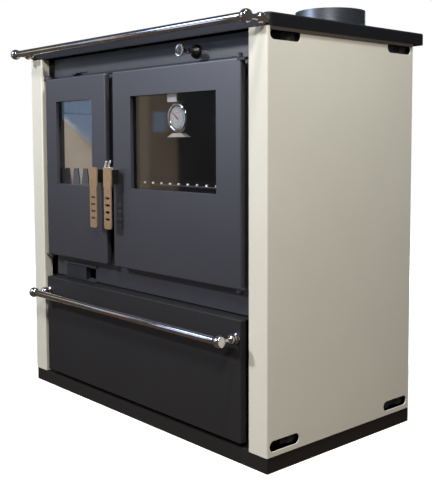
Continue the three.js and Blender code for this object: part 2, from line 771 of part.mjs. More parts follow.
// ---------------------------------------------------------------- doors
// The hinge edge is outer, the latch edge is beside the other door.
function doorShell(x0, x1, windowLeft, windowRight, pinX) {
  const shell = roundedFront(x0, x1, doorBottom, doorTop, 0, doorRim, doorEdgeRadius);
  const back = block(x0 + doorRimWidth, x1 - doorRimWidth, doorPlate, doorRim + 1,
    doorBottom + doorRimWidth, doorTop - doorRimWidth);
  const window = block(windowLeft, windowRight, -1, doorRim + 1, windowBottom, windowTop);
  const bosses = [doorBottom + 1, doorTop - 1 - hingeBoss].map((z) => block(
    pinX - pinInset + 1, pinX + pinInset - 1, doorPlate - 2, doorRim, z, z + hingeBoss));
  const pinHole = (z0, z1) => bar('z', z0, z1, pinX, pinY, pinRadius + pinClearance, 16);
  return cut(join(cut(shell, back, window), ...bosses),
    pinHole(doorBottom - 1, doorBottom + pinBite + 1), pinHole(doorTop - pinBite - 1, doorTop + 1));
}

function spindleHole(x) {
  return bar('y', -1, doorRim + 1, x, handlePivotZ, spindleRadius + gap, 20);
}


function frameEdges(x0, x1, hingeSide) {
  const left = hingeSide < 0 ? x0 + frameOuterInset : x0 + frameLatchInset;
  const right = hingeSide < 0 ? x1 - frameLatchInset : x1 - frameOuterInset;
  return [left, right, doorBottom + frameEndInset, doorTop - frameEndInset];
}

function doorGlass(x0, x1, hingeSide) {
  const [left, right, , top] = frameEdges(x0, x1, hingeSide);
  return block(left + glassInset, right - glassInset, doorPlate + gap, doorPlate + gap + glassThickness,
    windowBottom - 10, top - glassInset);
}

// Steel frame that holds the glass, with a crossbar under the window.
function glassFrame(x0, x1, hingeSide) {
  const [left, right, bottom, top] = frameEdges(x0, x1, hingeSide);
  const ring = ringAlongY(left, right, bottom, top, frameBar, frameFront, frameBack);
  const crossbar = block(left + 1, right - 1, frameFront, frameBack - 4,
    windowBottom - 10 - frameBar / 2, windowBottom - 5);
  return join(ring, crossbar);
}

function gasket(x0, x1, hingeSide) {
  const [left, right, bottom, top] = frameEdges(x0, x1, hingeSide);
  const inset = (frameBar - gasketWidth) / 2;
  return ringAlongY(left + inset, right - inset, bottom + inset, top - inset, gasketWidth,
    frameBack + gap, facePlateY - gap);
}

// Hinge lug on the face plate, above (end 1) or below (end -1) a door's outer corner.
function hingeLug(side, end) {
  const x = side * hingeX;
  const z0 = end > 0 ? doorTop + lugGap : doorBottom - lugGap - lugThickness;
  const z1 = z0 + lugThickness;
  const inner = x - side * lugRadius;
  const outer = side * (casingHalf - columnWidth - lugReveal);
  const arm = block(Math.min(inner, outer), Math.max(inner, outer), pinY, facePlateY + 1, z0, z1);
  const nose = bar('z', z0, z1, x, pinY, lugRadius, 24);
  const hole = bar('z', z0 - 1, z1 + 1, x, pinY, pinRadius + pinClearance, 16);
  return cut(join(arm, nose), hole);
}

// Headed pin through a lug into the door.
function hingePin(side, end) {
  const x = side * hingeX;
  const tip = end > 0 ? doorTop - pinBite : doorBottom + pinBite;
  const seat = end > 0 ? doorTop + lugGap + lugThickness + gap : doorBottom - lugGap - lugThickness - gap;
  const crown = seat + end * pinHead;
  const shank = bar('z', Math.min(tip, crown), Math.max(tip, crown), x, pinY, pinRadius, 16);
  const head = bar('z', Math.min(seat, crown), Math.max(seat, crown), x, pinY, pinRadius + 2, 16);
  return join(shank, head);
}

// ---------------------------------------------------------------- handles and latch
function handlePlate(x) {
  const top = handleTop;
  const bottom = handleTop - handleHeight;
  const wide = handleWidth / 2;
  const narrow = handleStemWidth / 2;
  const shape = new THREE.Shape();
  shape.moveTo(x - narrow + 5, bottom).lineTo(x + narrow - 5, bottom);
  shape.absarc(x + narrow - 5, bottom + 5, 5, -Math.PI / 2, 0);
  shape.lineTo(x + narrow, top - handleWide - 4).lineTo(x + wide, top - handleWide);
  shape.lineTo(x + wide, top - 3).lineTo(x + wide - 3, top).lineTo(x - wide + 3, top);
  shape.lineTo(x - wide, top - 3).lineTo(x - wide, top - handleWide);
  shape.lineTo(x - narrow, top - handleWide - 4).lineTo(x - narrow, bottom + 5);
  shape.absarc(x - narrow + 5, bottom + 5, 5, Math.PI, 1.5 * Math.PI);
  for (let i = 0; i < handleSlots; i += 1) {
    const z = top - handleFirstSlot - i * handleSlotPitch;
    const half = handleSlotHeight / 2;
    shape.holes.push(rectangle(x - handleSlotLength / 2, x + handleSlotLength / 2, z - half, z + half, 2));
  }
  return alongY(shape, -handleStandoff, -handleStandoff + handleThickness, 2);
}

// Black block behind the handle's top, with the spindle that goes through the door.
function gripBlock(x) {
  const y0 = -handleStandoff + handleThickness + gap;
  const housing = block(x - gripBlockWidth / 2, x + gripBlockWidth / 2, y0, -gap - 0.5,
    handlePivotZ - gripBlockHeight / 2, handlePivotZ + gripBlockHeight / 2);
  const spindle = bar('y', y0 + 1, doorRim + gap + 1, x, handlePivotZ, spindleRadius, 20);
  return join(housing, spindle);
}

// Cam on the spindle's inner end; its nose points at the keeper when the door is shut.
function latchCam(x, tip) {
  const y0 = doorRim + gap + 1 + gap;
  const nose = block(Math.min(x, tip), Math.max(x, tip), y0, y0 + camThickness,
    handlePivotZ - 4, handlePivotZ + 4);
  const hub = bar('y', y0, y0 + camThickness, x, handlePivotZ, 8, 20);
  return join(nose, hub);
}

// Bright two-pronged keeper on the face plate, between the two doors.
function keeper() {
  const z0 = handleTop;
  const half = keeperWidth / 2;
  const arm = block(keeperX - half, keeperX + half, keeperProngY, facePlateY - gap, z0 - 8, z0);
  const hub = bar('x', keeperX - half, keeperX + half, keeperProngY, z0 - 4, 4, 16);
  const prongs = [-1, 1].map((side) => {
    const x = keeperX + side * (half - keeperProngRadius);
    const post = bar('z', z0 - 1, z0 + keeperProngHeight - 2, x, keeperProngY, keeperProngRadius, 12);
    const cap = new THREE.SphereGeometry(keeperProngRadius, 12, 6);
    cap.rotateX(Math.PI / 2).translate(x, keeperProngY, z0 + keeperProngHeight - 2);
    return join(post, solid(cap));
  });
  return join(arm, hub, ...prongs);
}

// ---------------------------------------------------------------- thermometer on the oven door
function dialCase() {
  const r = dialRadius;
  const y0 = dialFront;
  return turnedY([
    [0, y0 + 3], [r - 6, y0 + 3], [r - 5, y0], [r - 3, y0], [r, y0 + 3],
    [r, y0 + dialDepth - 2], [r - 2, y0 + dialDepth], [0, y0 + dialDepth],
  ], dialX, dialZ, 32);
}

function dialFace() {
  return bar('y', dialFront + 1.9, dialFront + 2.7, dialX, dialZ, dialRadius - 6.5, 40);
}

function dialGlass() {
  return bar('y', dialFront + 0.1, dialFront + 0.6, dialX, dialZ, dialRadius - 5.7, 32);
}

function dialNeedle() {
  const y0 = dialFront + 0.9;
  const length = dialRadius - 11;
  const needle = new THREE.Shape();
  needle.moveTo(-1.6, -6).lineTo(1.6, -6).lineTo(0.4, length).lineTo(-0.4, length).closePath();
  const geometry = new THREE.ExtrudeGeometry(needle, { depth: 0.6, bevelEnabled: false });
  geometry.rotateZ(0.9).rotateX(Math.PI / 2).translate(dialX, y0 + 0.6, dialZ);
  return join(solid(geometry), bar('y', y0, y0 + 0.7, dialX, dialZ, 2.6, 16));
}

function dialHanger() {
  const half = hangerWidth / 2;
  const top = doorTop - frameEndInset - frameBar - gap;
  const bottom = dialZ + dialRadius + gap;
  const x = dialX - hangerOffset;
  const strip = block(x - half, x + half, hangerFront, hangerFront + hangerSheet, bottom, top);
  const shelf = block(x - half, x + half, hangerFront, dialFront + dialDepth - 2,
    bottom, bottom + hangerSheet);
  const foot = new THREE.Shape();
  const footTop = dialZ - dialRadius - gap;
  foot.moveTo(dialX - dialRadius, footTop - dialFootHeight);
  foot.lineTo(dialX + dialRadius, footTop - dialFootHeight);
  foot.lineTo(dialX + 0.56 * dialRadius, footTop).lineTo(dialX - 0.56 * dialRadius, footTop).closePath();
  const backStrip = block(dialX - dialRadius / 4, dialX + dialRadius / 4, dialFront + dialDepth + gap,
    dialFront + dialDepth + gap + hangerSheet, footTop - dialFootHeight + 1, bottom + hangerSheet);
  const bridge = block(dialX - dialRadius / 4, dialX + dialRadius / 4, dialFront + dialDepth - 3,
    dialFront + dialDepth + gap + hangerSheet, bottom, bottom + hangerSheet);
  const footBody = alongY(foot, dialFront + 1, dialFront + dialDepth + gap + hangerSheet);
  return join(strip, shelf, backStrip, bridge, footBody);
}

// ---------------------------------------------------------------- drawer
function drawerFront() {
  const y0 = -drawerProud;
  const face = roundedFront(-drawerInset, drawerInset, drawerBottom, drawerTop, y0, y0 + drawerRim,
    drawerEdgeRadius);
  const hollow = block(-drawerInset + drawerSheet, drawerInset - drawerSheet, y0 + drawerSheet,
    y0 + drawerRim + 1, drawerBottom + drawerSheet, drawerTop - drawerSheet);
  const shelf = block(-drawerInset + 1, drawerInset - 1, y0 + drawerRim - 1, y0 + drawerShelf,
    drawerTop - drawerSheet, drawerTop);
  return join(cut(face, hollow), shelf);
}

function drawerBin() {
  const y0 = -drawerProud + drawerSheet + gap;
  const outer = block(-binInset, binInset, y0, binBack, binBottom, binBottom + binHeight);
  const inner = block(-binInset + drawerSheet, binInset - drawerSheet, y0 + drawerSheet,
    binBack - drawerSheet, binBottom + drawerSheet, binBottom + binHeight + 1);
  return join(cut(outer, inner), movingRunner(-1), movingRunner(1));
}

// Lipped channel welded to a side wall of the drawer bay.
function fixedRunner(side) {
  const wall = side * (bodyInner + 1);
  const lip = side * (binInset + 2);
  const web = side * (bodyInner - runnerSheet);
  const z0 = runnerZ;
  const z1 = runnerZ + runnerHeight;
  const channel = block(Math.min(wall, lip), Math.max(wall, lip), bodyFront, bodyBack - 1, z0, z1);
  const slot = block(Math.min(web, lip - side), Math.max(web, lip - side), bodyFront - 1, bodyBack - bodyWall,
    z0 + runnerSheet, z1 - runnerSheet);
  return cut(channel, slot);
}

// Bar on the bin's side that runs in the channel.
function movingRunner(side) {
  const outer = side * (bodyInner - runnerSheet - gap);
  const inner = side * (binInset - 1);
  return block(Math.min(outer, inner), Math.max(outer, inner), bodyFront, binBack,
    runnerZ + runnerSheet + gap, runnerZ + runnerHeight - runnerSheet - gap);
}

// ---------------------------------------------------------------- rails
// Turned post along Y from a foot on the carrying face to the ball at the rail's end.
function railPost(x, z, carrier, standoff, side) {
  const y = carrier - standoff;
  const foot = carrier - gap;
  const bulbY = foot - 4 - postBulbRadius;
  const post = turnedY([
    [0, foot], [postFootRadius, foot], [postFootRadius, foot - 2.5], [postNeckRadius + 2, foot - 5],
    ...profileArc(postBulbRadius, bulbY, 0.25 * Math.PI, 0.8 * Math.PI, 5),
    [postNeckRadius, bulbY - postBulbRadius - 1],
    [postNeckRadius, y + 2], [0, y + 2],
  ].reverse(), x, z, 16);
  const ball = new THREE.SphereGeometry(railKnobRadius, 16, 12);
  ball.rotateX(Math.PI / 2).translate(x, y, z);
  const flat = railKnobRadius * 0.6;
  const cutX = x + side * (flat + 10);
  const end = block(cutX - 10, cutX + 10, y - 20, y + 20, z - 20, z + 20);
  return join(post, cut(solid(ball), end));
}

function railTube(half, z, carrier, standoff) {
  const length = half - railKnobRadius - gap;
  return bar('x', -length, length, carrier - standoff, z, railRadius, 32);
}

// ---------------------------------------------------------------- air controls and damper
function airSlide() {
  const y0 = facePlateBack + gap;
  const z = airSlotBottom + airSlotHeight / 2;
  const strip = block(airSlotLeft - 20, airSlotRight, y0, y0 + airSlideThickness,
    z - airSlideHeight / 2, z + airSlideHeight / 2);
  const tongueLeft = airSlotLeft + 4;
  const tongue = block(tongueLeft, tongueLeft + airTongueWidth, facePlateY - airTongueReach, y0 + 1,
    z - airTongueThickness / 2, z + airTongueThickness / 2);
  return join(strip, tongue);
}

// Two lipped rails on the back of the face plate, above and below the air slide.
function airGuides() {
  const y0 = facePlateBack - 1;
  const y1 = facePlateBack + airSlideThickness + 2 * gap + 2;
  const z = airSlotBottom + airSlotHeight / 2;
  const half = airSlideHeight / 2 + gap;
  const x0 = airSlotLeft - 30;
  const x1 = airSlotRight + airTravel + 6;
  return [1, -1].map((end) => {
    const edge = z + end * half;
    const outer = edge + end * 3;
    const lip = edge - end * 3;
    return join(block(x0, x1, y0, y1, Math.min(edge, outer), Math.max(edge, outer)),
      block(x0, x1, y1 - 2, y1, Math.min(lip, outer), Math.max(lip, outer)));
  });
}

const shutterBack = facePlateY - gap;
const shutterBottom = shutterTop - shutterHeight;

// Sliding shutter: a bevelled bar with a thin lip along its upper and lower edges.
function airShutter() {
  const shape = new THREE.Shape();
  const front = shutterBack - shutterThickness;
  const lip = shutterBack - shutterSheet;
  shape.moveTo(front, shutterBottom).lineTo(lip, shutterBottom);
  shape.lineTo(lip, shutterBottom - shutterFlange).lineTo(shutterBack, shutterBottom - shutterFlange);
  shape.lineTo(shutterBack, shutterTop + shutterFlange).lineTo(lip, shutterTop + shutterFlange);
  shape.lineTo(lip, shutterTop).lineTo(front, shutterTop - 4).closePath();
  const geometry = new THREE.ExtrudeGeometry(shape, { depth: shutterWidth, bevelEnabled: false });
  geometry.rotateX(Math.PI / 2).rotateZ(Math.PI / 2).translate(shutterLeft, 0, 0);
  return solid(geometry);
}

// Two lipped guides hold the shutter to the face plate.
function shutterGuides() {
  const x0 = shutterLeft - 8;
  const x1 = shutterOpeningLeft + shutterOpening + 8;
  const lipBack = shutterBack - shutterSheet - gap;
  const lipFront = lipBack - 1.5;
  return [[shutterTop, 1], [shutterBottom, -1]].map(([side, end]) => {
    const lip = side + end * gap;
    const inner = side + end * (shutterFlange + gap);
    const outer = inner + end * 1.5;
    return join(
      block(x0, x1, lipFront, facePlateY + 1, Math.min(inner, outer), Math.max(inner, outer)),
      block(x0, x1, lipFront, lipBack, Math.min(lip, outer), Math.max(lip, outer)));
  });
}

function damperBush() {
  const sleeve = bar('y', facePlateY - gap - 1, facePlateBack, damperX, damperZ, damperBushRadius - 3, 24);
  const flange = bar('y', facePlateY - gap - 4, facePlateY - gap, damperX, damperZ, damperBushRadius, 24);
  const bore = bar('y', 0, facePlateBack + 10, damperX, damperZ, damperRodRadius + gap, 20);
  return cut(join(sleeve, flange), bore);
}

function damperRod() {
  const rod = bar('y', damperKnobFront + 4, damperPlateFront - gap, damperX, damperZ, damperRodRadius, 20);
  const knob = turnedY([
    [0, damperKnobFront + 1], [7, damperKnobFront + 0.5], [damperKnobRadius - 3, damperKnobFront],
    [damperKnobRadius, damperKnobFront + 1.8], [damperKnobRadius - 1.5, damperKnobFront + 4],
    [5, damperKnobFront + 6], [0, damperKnobFront + 6],
  ], damperX, damperZ, 24);
  const ring = new THREE.SphereGeometry(damperRingRadius, 14, 8);
  ring.rotateX(Math.PI / 2).translate(damperX, damperRingY, damperZ);
  return join(rod, knob, solid(ring));
}

const damperPlateZ = hobHeight - hobSheet - 10;

function damperPlate() {
  const plate = block(damperPlateLeft, damperPlateRight, damperPlateFront,
    damperPlateFront + damperPlateDepth, damperPlateZ, damperPlateZ + damperPlateThickness);
  const ear = block(damperX - 9, damperX + 9, damperPlateFront, damperPlateFront + damperPlateThickness,
    damperZ - 8, damperPlateZ + 1);
  return join(plate, ear);
}

// Z-shaped rails under the hob sheet carry the damper plate by its side edges.
function damperRail(x, side) {
  const y0 = damperPlateFront - damperTravel - 6;
  const y1 = damperPlateFront + damperPlateDepth + 4;
  const wallInner = x + side * gap;
  const wallOuter = wallInner + side * 2;
  const lipInner = x - side * 7;
  const under = damperPlateZ - gap;
  const wall = block(Math.min(wallInner, wallOuter), Math.max(wallInner, wallOuter), y0, y1,
    under - 2, hobHeight - hobSheet + 1);
  const lip = block(Math.min(lipInner, wallOuter), Math.max(lipInner, wallOuter), y0, y1, under - 2, under);
  return join(wall, lip);
}

// ---------------------------------------------------------------- putting it together
add('plinth', plinth(), blackPaint());
const casing = sideCasing();
add('right_side_casing', casing, creamPaint());
add('left_side_casing', casing.mirror([1, 0, 0]), creamPaint());
add('back_panel', backPanel(), blackPaint());

add('hob_frame', hobFrame(), blackPaint());
add('hotplate', hotplate(), castIron());
add('hotplate_lid', hotplateLid(), castIron());
add('flue_collar', flueCollar(), sheetSteel());

add('inner_body', innerBody(), sheetSteel());
add('face_plate', facePlate(), darkPaint());

add('firebox_divider', fireboxDivider(), sheetSteel());
add('grate_shelf', grateShelf(), castIron());
add('fire_grate', fireGrate(), castIron());
const sideBrick = (x0, x1) => brick(x0, x1, bodyFront + gap, backBrickFront - gap);
add('firebrick_left', sideBrick(-bodyInner + gap, brickLeftFace), fireclay());
add('firebrick_right', sideBrick(fireOpeningRight + gap, dividerLeft - gap), fireclay());
add('firebrick_back',
  brick(-bodyInner + gap, dividerLeft - gap, backBrickFront, bodyBack - bodyWall - gap), fireclay());
add('log_guard', logGuard(), castIron());
add('ash_shelf', ashShelf(), sheetSteel());
add('ash_pan', ashPan(), sheetSteel());

add('oven_liner', ovenLiner(), blackPaint());
add('oven_rack', ovenRack(), chrome());

add('firebox_door', cut(doorShell(-doorOuterInset, fireDoorRight, fireWindowLeft, fireWindowRight, -hingeX),
  spindleHole(fireHandleX)), darkPaint());
add('firebox_glass', doorGlass(-doorOuterInset, fireDoorRight, -1), clearGlass());
add('firebox_glass_frame', glassFrame(-doorOuterInset, fireDoorRight, -1), blackPaint());
add('firebox_gasket', gasket(-doorOuterInset, fireDoorRight, -1), ropeFibre());
add('oven_door', cut(doorShell(ovenDoorLeft, doorOuterInset, ovenWindowLeft, ovenWindowRight, hingeX),
  spindleHole(ovenHandleX)), darkPaint());
add('oven_glass', doorGlass(ovenDoorLeft, doorOuterInset, 1), clearGlass());
add('oven_glass_frame', glassFrame(ovenDoorLeft, doorOuterInset, 1), blackPaint());
add('oven_gasket', gasket(ovenDoorLeft, doorOuterInset, 1), ropeFibre());
for (const [side, hung] of [[-1, 'firebox'], [1, 'oven']]) {
  add(`${hung}_hinge_pin_top`, hingePin(side, 1), blackPaint());
  add(`${hung}_hinge_pin_bottom`, hingePin(side, -1), blackPaint());
}

add('firebox_handle', handlePlate(fireHandleX), satinBronze());
add('firebox_handle_block', gripBlock(fireHandleX), blackPaint());
add('firebox_latch_cam', latchCam(fireHandleX, fireDoorRight - camShort), sheetSteel());
add('oven_handle', handlePlate(ovenHandleX), satinBronze());
add('oven_handle_block', gripBlock(ovenHandleX), blackPaint());
add('oven_latch_cam', latchCam(ovenHandleX, ovenDoorLeft + camShort), sheetSteel());
add('latch_keeper', keeper(), chrome());

add('thermometer_case', dialCase(), chrome());
add('thermometer_dial', dialFace(), dialWhite());
add('thermometer_needle', dialNeedle(), needleRed());
add('thermometer_glass', dialGlass(), clearGlass());
add('thermometer_hanger', dialHanger(), chrome());

add('drawer_front', drawerFront(), darkPaint());
add('drawer_bin', drawerBin(), sheetSteel());

const hobRailZ = hobHeight - hobThickness / 2;
for (const [side, name] of [[-1, 'left'], [1, 'right']]) {
  add(`hob_rail_post_${name}`, railPost(side * railHalf, hobRailZ, hobFront, railStandoff, side), chrome());
  add(`drawer_rail_post_${name}`,
    railPost(side * drawerRailHalf, drawerRailZ, -drawerProud, drawerRailStandoff, side), chrome());
}
add('hob_rail', railTube(railHalf, hobRailZ, hobFront, railStandoff), chrome());
add('drawer_rail', railTube(drawerRailHalf, drawerRailZ, -drawerProud, drawerRailStandoff), chrome());

add('air_slide', airSlide(), darkPaint());
add('air_shutter', airShutter(), castIron());
add('damper_bush', damperBush(), blackPaint());
add('damper_rod', damperRod(), chrome());
add('damper_plate', damperPlate(), sheetSteel());

// Origin under the middle of the whole stove, from the rail's ball to the hob's rear edge.
const frontmost = Math.min(hobFront - railStandoff, -drawerProud - drawerRailStandoff) - railKnobRadius;
const rearmost = hobFront + hobDepth;
stove.position.y = -(frontmost + rearmost) / 2;

export default stove;
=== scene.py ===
"""Looks of a wood cookstove: cream casings, satin grey doors and drawer, black hob, chrome rails."""
import math
import bmesh
import bpy
import numpy as np
from mathutils import Matrix, Vector


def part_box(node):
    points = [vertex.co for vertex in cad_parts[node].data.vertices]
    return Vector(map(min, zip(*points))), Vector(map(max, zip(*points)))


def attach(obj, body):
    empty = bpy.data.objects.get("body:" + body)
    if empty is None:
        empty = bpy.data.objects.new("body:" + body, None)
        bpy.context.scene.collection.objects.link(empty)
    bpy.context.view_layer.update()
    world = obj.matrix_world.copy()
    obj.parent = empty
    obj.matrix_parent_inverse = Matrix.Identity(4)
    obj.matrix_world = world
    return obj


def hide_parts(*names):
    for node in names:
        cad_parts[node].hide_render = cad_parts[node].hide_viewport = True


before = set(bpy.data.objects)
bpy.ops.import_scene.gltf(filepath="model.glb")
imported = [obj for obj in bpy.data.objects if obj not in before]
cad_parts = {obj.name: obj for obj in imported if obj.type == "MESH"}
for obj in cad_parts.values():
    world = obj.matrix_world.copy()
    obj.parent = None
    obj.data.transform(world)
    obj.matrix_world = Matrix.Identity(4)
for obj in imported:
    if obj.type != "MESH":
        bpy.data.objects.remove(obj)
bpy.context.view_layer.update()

# ---------------------------------------------------------------- shared values, in metres
MM = 0.001
SHIFT = -210.75        # the source's Y = 0, the face of the cream columns, in this frame, in mm


def at(points):
    """Points given in millimetres with Y = 0 on the column faces, in metres in the frame."""
    return (np.asarray(points, dtype=float) + (0.0, SHIFT, 0.0)) * MM


def extent(node):
    """A CAD node's lowest corner, highest corner and middle, in the same millimetres."""
    low, high = (np.array(corner) / MM - (0.0, SHIFT, 0.0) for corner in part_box(node))
    return low, high, (low + high) / 2


def colour(code):
    """A hex sRGB colour as linear RGBA."""
    parts = [int(code[i:i + 2], 16) / 255 for i in (0, 2, 4)]
    return tuple(c / 12.92 if c <= 0.04045 else ((c + 0.055) / 1.055) ** 2.4 for c in parts) + (1.0,)


# ---------------------------------------------------------------- node helpers
def add(tree, kind, inputs=None, **settings):
    """A new node: settings are its own properties, inputs are values or sockets by name or number."""
    node = tree.nodes.new(kind)
    for key, value in settings.items():
        setattr(node, key, value)
    for key, value in (inputs or {}).items():
        if isinstance(value, bpy.types.NodeSocket):
            tree.links.new(value, node.inputs[key])
        else:
            node.inputs[key].default_value = value
    return node


def material(name):
    """A node material, its tree and its Principled shader."""
    made = bpy.data.materials.new(name)
    made.use_nodes = True
    tree = made.node_tree
    shader = next(n for n in tree.nodes if n.type == "BSDF_PRINCIPLED")
    return made, tree, shader


def place(tree, scale=(1, 1, 1)):
    """Object coordinates, stretched by scale."""
    spot = add(tree, "ShaderNodeTexCoord").outputs["Object"]
    return add(tree, "ShaderNodeMapping", {"Vector": spot, "Scale": scale}).outputs["Vector"]


def noise(tree, vector, cell, detail=3.0, roughness=0.55):
    """Grey noise in 0 to 1 whose cells have the given size in millimetres."""
    return add(tree, "ShaderNodeTexNoise", {"Vector": vector, "Scale": 1000.0 / cell, "Detail": detail,
                                            "Roughness": roughness}).outputs["Fac"]


def span(tree, value, low, high, start=0.3, end=0.7):
    """Maps value from start..end to low..high, clamped."""
    return add(tree, "ShaderNodeMapRange", {"Value": value, "From Min": start, "From Max": end,
                                            "To Min": low, "To Max": high}).outputs["Result"]


def blend(tree, factor, first, second):
    """Colour mix of two hex colours or sockets by factor."""
    mixed = add(tree, "ShaderNodeMix", data_type="RGBA")
    tree.links.new(factor, mixed.inputs["Factor"])
    for index, value in ((6, first), (7, second)):
        if isinstance(value, str):
            mixed.inputs[index].default_value = colour(value)
        else:
            tree.links.new(value, mixed.inputs[index])
    return mixed.outputs[2]


def bump(tree, height, strength, distance):
    """Normal from a height field; distance in metres."""
    return add(tree, "ShaderNodeBump",
               {"Height": height, "Strength": strength, "Distance": distance}).outputs["Normal"]


def link(tree, shader, **sockets):
    """Links sockets to the shader's inputs; base_color stands for Base Color and so on."""
    for key, value in sockets.items():
        tree.links.new(value, shader.inputs[key.replace("_", " ").title()])


# ---------------------------------------------------------------- materials
# Sizes of the patterns in the finishes, in millimetres.
PAINT_CLOUD, METAL_LINE, METAL_CLOUD, WIPE_MARK = 285.7, 16.67, 111.1, 25.0
SAND_GRAIN, CASTING_CLOUD, CLAY_PIT, CLAY_STAIN = 2.38, 83.33, 6.25, 111.1
BRICK_COURSE, JOINT_CORE, JOINT_EDGE = 115.0, 1.2, 3.0
ROPE_STRAND, GLASS_HAZE = 5.236, 142.9
# The dial: its ticks, where their ring begins, and the thin ring's radius and half width.
DIAL_TICKS, TICK_RING, THIN_RING, THIN_RING_HALF = 40, (15.0, 15.4), 10.8, 0.6


def painted(name, dark, light, rough_low, rough_high, grain, depth, shine=0.5):
    """Sprayed sheet-metal paint: a cloudy shade, and a grain in gloss and surface that softens highlights.

    grain is the size of the orange peel in millimetres and depth its height in metres, as far as it shows.
    """
    made, tree, shader = material(name)
    where = place(tree)
    cloud = noise(tree, where, PAINT_CLOUD, 4.0)
    fine = noise(tree, where, grain, 2.0)
    shade = blend(tree, span(tree, cloud, 0.0, 1.0), dark, light)
    link(tree, shader, base_color=shade, roughness=span(tree, fine, rough_low, rough_high),
         normal=bump(tree, fine, 0.12, depth))
    shader.inputs["Specular IOR Level"].default_value = shine
    return made


def brushed(name, dark, light, stretch, roughness, metallic=1.0):
    """Drawn or brushed metal: fine lines along one axis, set by the noise's stretch, spread highlights."""
    made, tree, shader = material(name)
    where = place(tree, stretch)
    lines = noise(tree, where, METAL_LINE, 4.0, 0.7)
    cloud = noise(tree, place(tree), METAL_CLOUD)
    link(tree, shader, base_color=blend(tree, span(tree, lines, 0.0, 1.0), dark, light),
         roughness=span(tree, cloud, roughness * 0.8, roughness * 1.2),
         normal=bump(tree, lines, 0.15, 0.0002))
    shader.inputs["Metallic"].default_value = metallic
    return made


def chrome_plate():
    """Plated and polished chrome: a mirror with faint wiping marks in its gloss."""
    made, tree, shader = material("polished_chrome")
    smudge = noise(tree, place(tree), WIPE_MARK)
    link(tree, shader, base_color=blend(tree, span(tree, smudge, 0.0, 1.0), "C9C4BF", "DEDBD8"),
         roughness=span(tree, smudge, 0.06, 0.13))
    shader.inputs["Metallic"].default_value = 1.0
    return made


def iron(name, dark, light, rough):
    """Sand-cast iron, blackened: a sandy grain that keeps it dull, with cloudy lighter areas."""
    made, tree, shader = material(name)
    where = place(tree)
    sand = noise(tree, where, SAND_GRAIN, 3.0, 0.6)
    cloud = noise(tree, where, CASTING_CLOUD)
    link(tree, shader, base_color=blend(tree, span(tree, cloud, 0.0, 1.0), dark, light),
         roughness=span(tree, sand, rough, rough + 0.15), normal=bump(tree, sand, 0.5, 0.0004))
    shader.inputs["Metallic"].default_value = 0.3
    return made


def firebrick():
    """Pressed and fired clay: pale, rough and pitted, with a joint at every course of bricks."""
    made, tree, shader = material("fireclay_brick")
    where = place(tree)
    pits = noise(tree, where, CLAY_PIT, 4.0, 0.7)
    stain = noise(tree, where, CLAY_STAIN, 4.0)
    height = add(tree, "ShaderNodeSeparateXYZ", {"Vector": where}).outputs["Z"]
    course = add(tree, "ShaderNodeMath", {0: height, 1: BRICK_COURSE * MM}, operation="PINGPONG").outputs[0]
    joint = span(tree, course, 1.0, 0.0, JOINT_CORE * MM, JOINT_EDGE * MM)
    clay = blend(tree, span(tree, stain, 0.0, 1.0), "F0E4D6", "FFF6EA")
    link(tree, shader, base_color=blend(tree, joint, clay, "6E5A44"),
         normal=bump(tree, pits, 0.6, 0.0015))
    shader.inputs["Roughness"].default_value = 0.95
    return made


def rope_seal():
    """Braided glass-fibre rope: dull slanting strands, drawn coarse enough to show.

    The bands repeat every 2 pi / 10 of the texture's unit, so the scale follows from the strand's width.
    """
    made, tree, shader = material("braided_rope")
    where = place(tree)
    scale = 2 * math.pi / (10 * ROPE_STRAND * MM)
    strands = add(tree, "ShaderNodeTexWave", {"Vector": where, "Scale": scale, "Distortion": 1.0},
                  bands_direction="DIAGONAL").outputs["Fac"]
    link(tree, shader, base_color=blend(tree, strands, "3A3936", "6B6964"),
         normal=bump(tree, strands, 0.6, 0.001))
    shader.inputs["Roughness"].default_value = 0.95
    return made


def stove_glass(name, haze_low, haze_high):
    """Clear pane: see-through, with a mirror share that grows as the view flattens, and a faint haze.

    The share on each face is 0.045 plus the fourth power of how side-on the face is seen.
    """
    made, tree, shader = material(name)
    side_on = add(tree, "ShaderNodeLayerWeight", {"Blend": 0.5}).outputs["Facing"]
    curve = add(tree, "ShaderNodeMath", {0: side_on, 1: 4.0}, operation="POWER").outputs[0]
    mirror = add(tree, "ShaderNodeMath", {0: curve, 1: 0.95, 2: 0.045}, operation="MULTIPLY_ADD").outputs[0]
    haze = span(tree, noise(tree, place(tree), GLASS_HAZE, 4.0), haze_low, haze_high)
    link(tree, shader, alpha=add(tree, "ShaderNodeMath", {0: mirror, 1: haze}, operation="ADD").outputs[0],
         roughness=span(tree, haze, 0.02, 0.06, haze_low, haze_high))
    shader.inputs["Base Color"].default_value = colour("E9EEF2")
    shader.inputs["Metallic"].default_value = 1.0
    return made


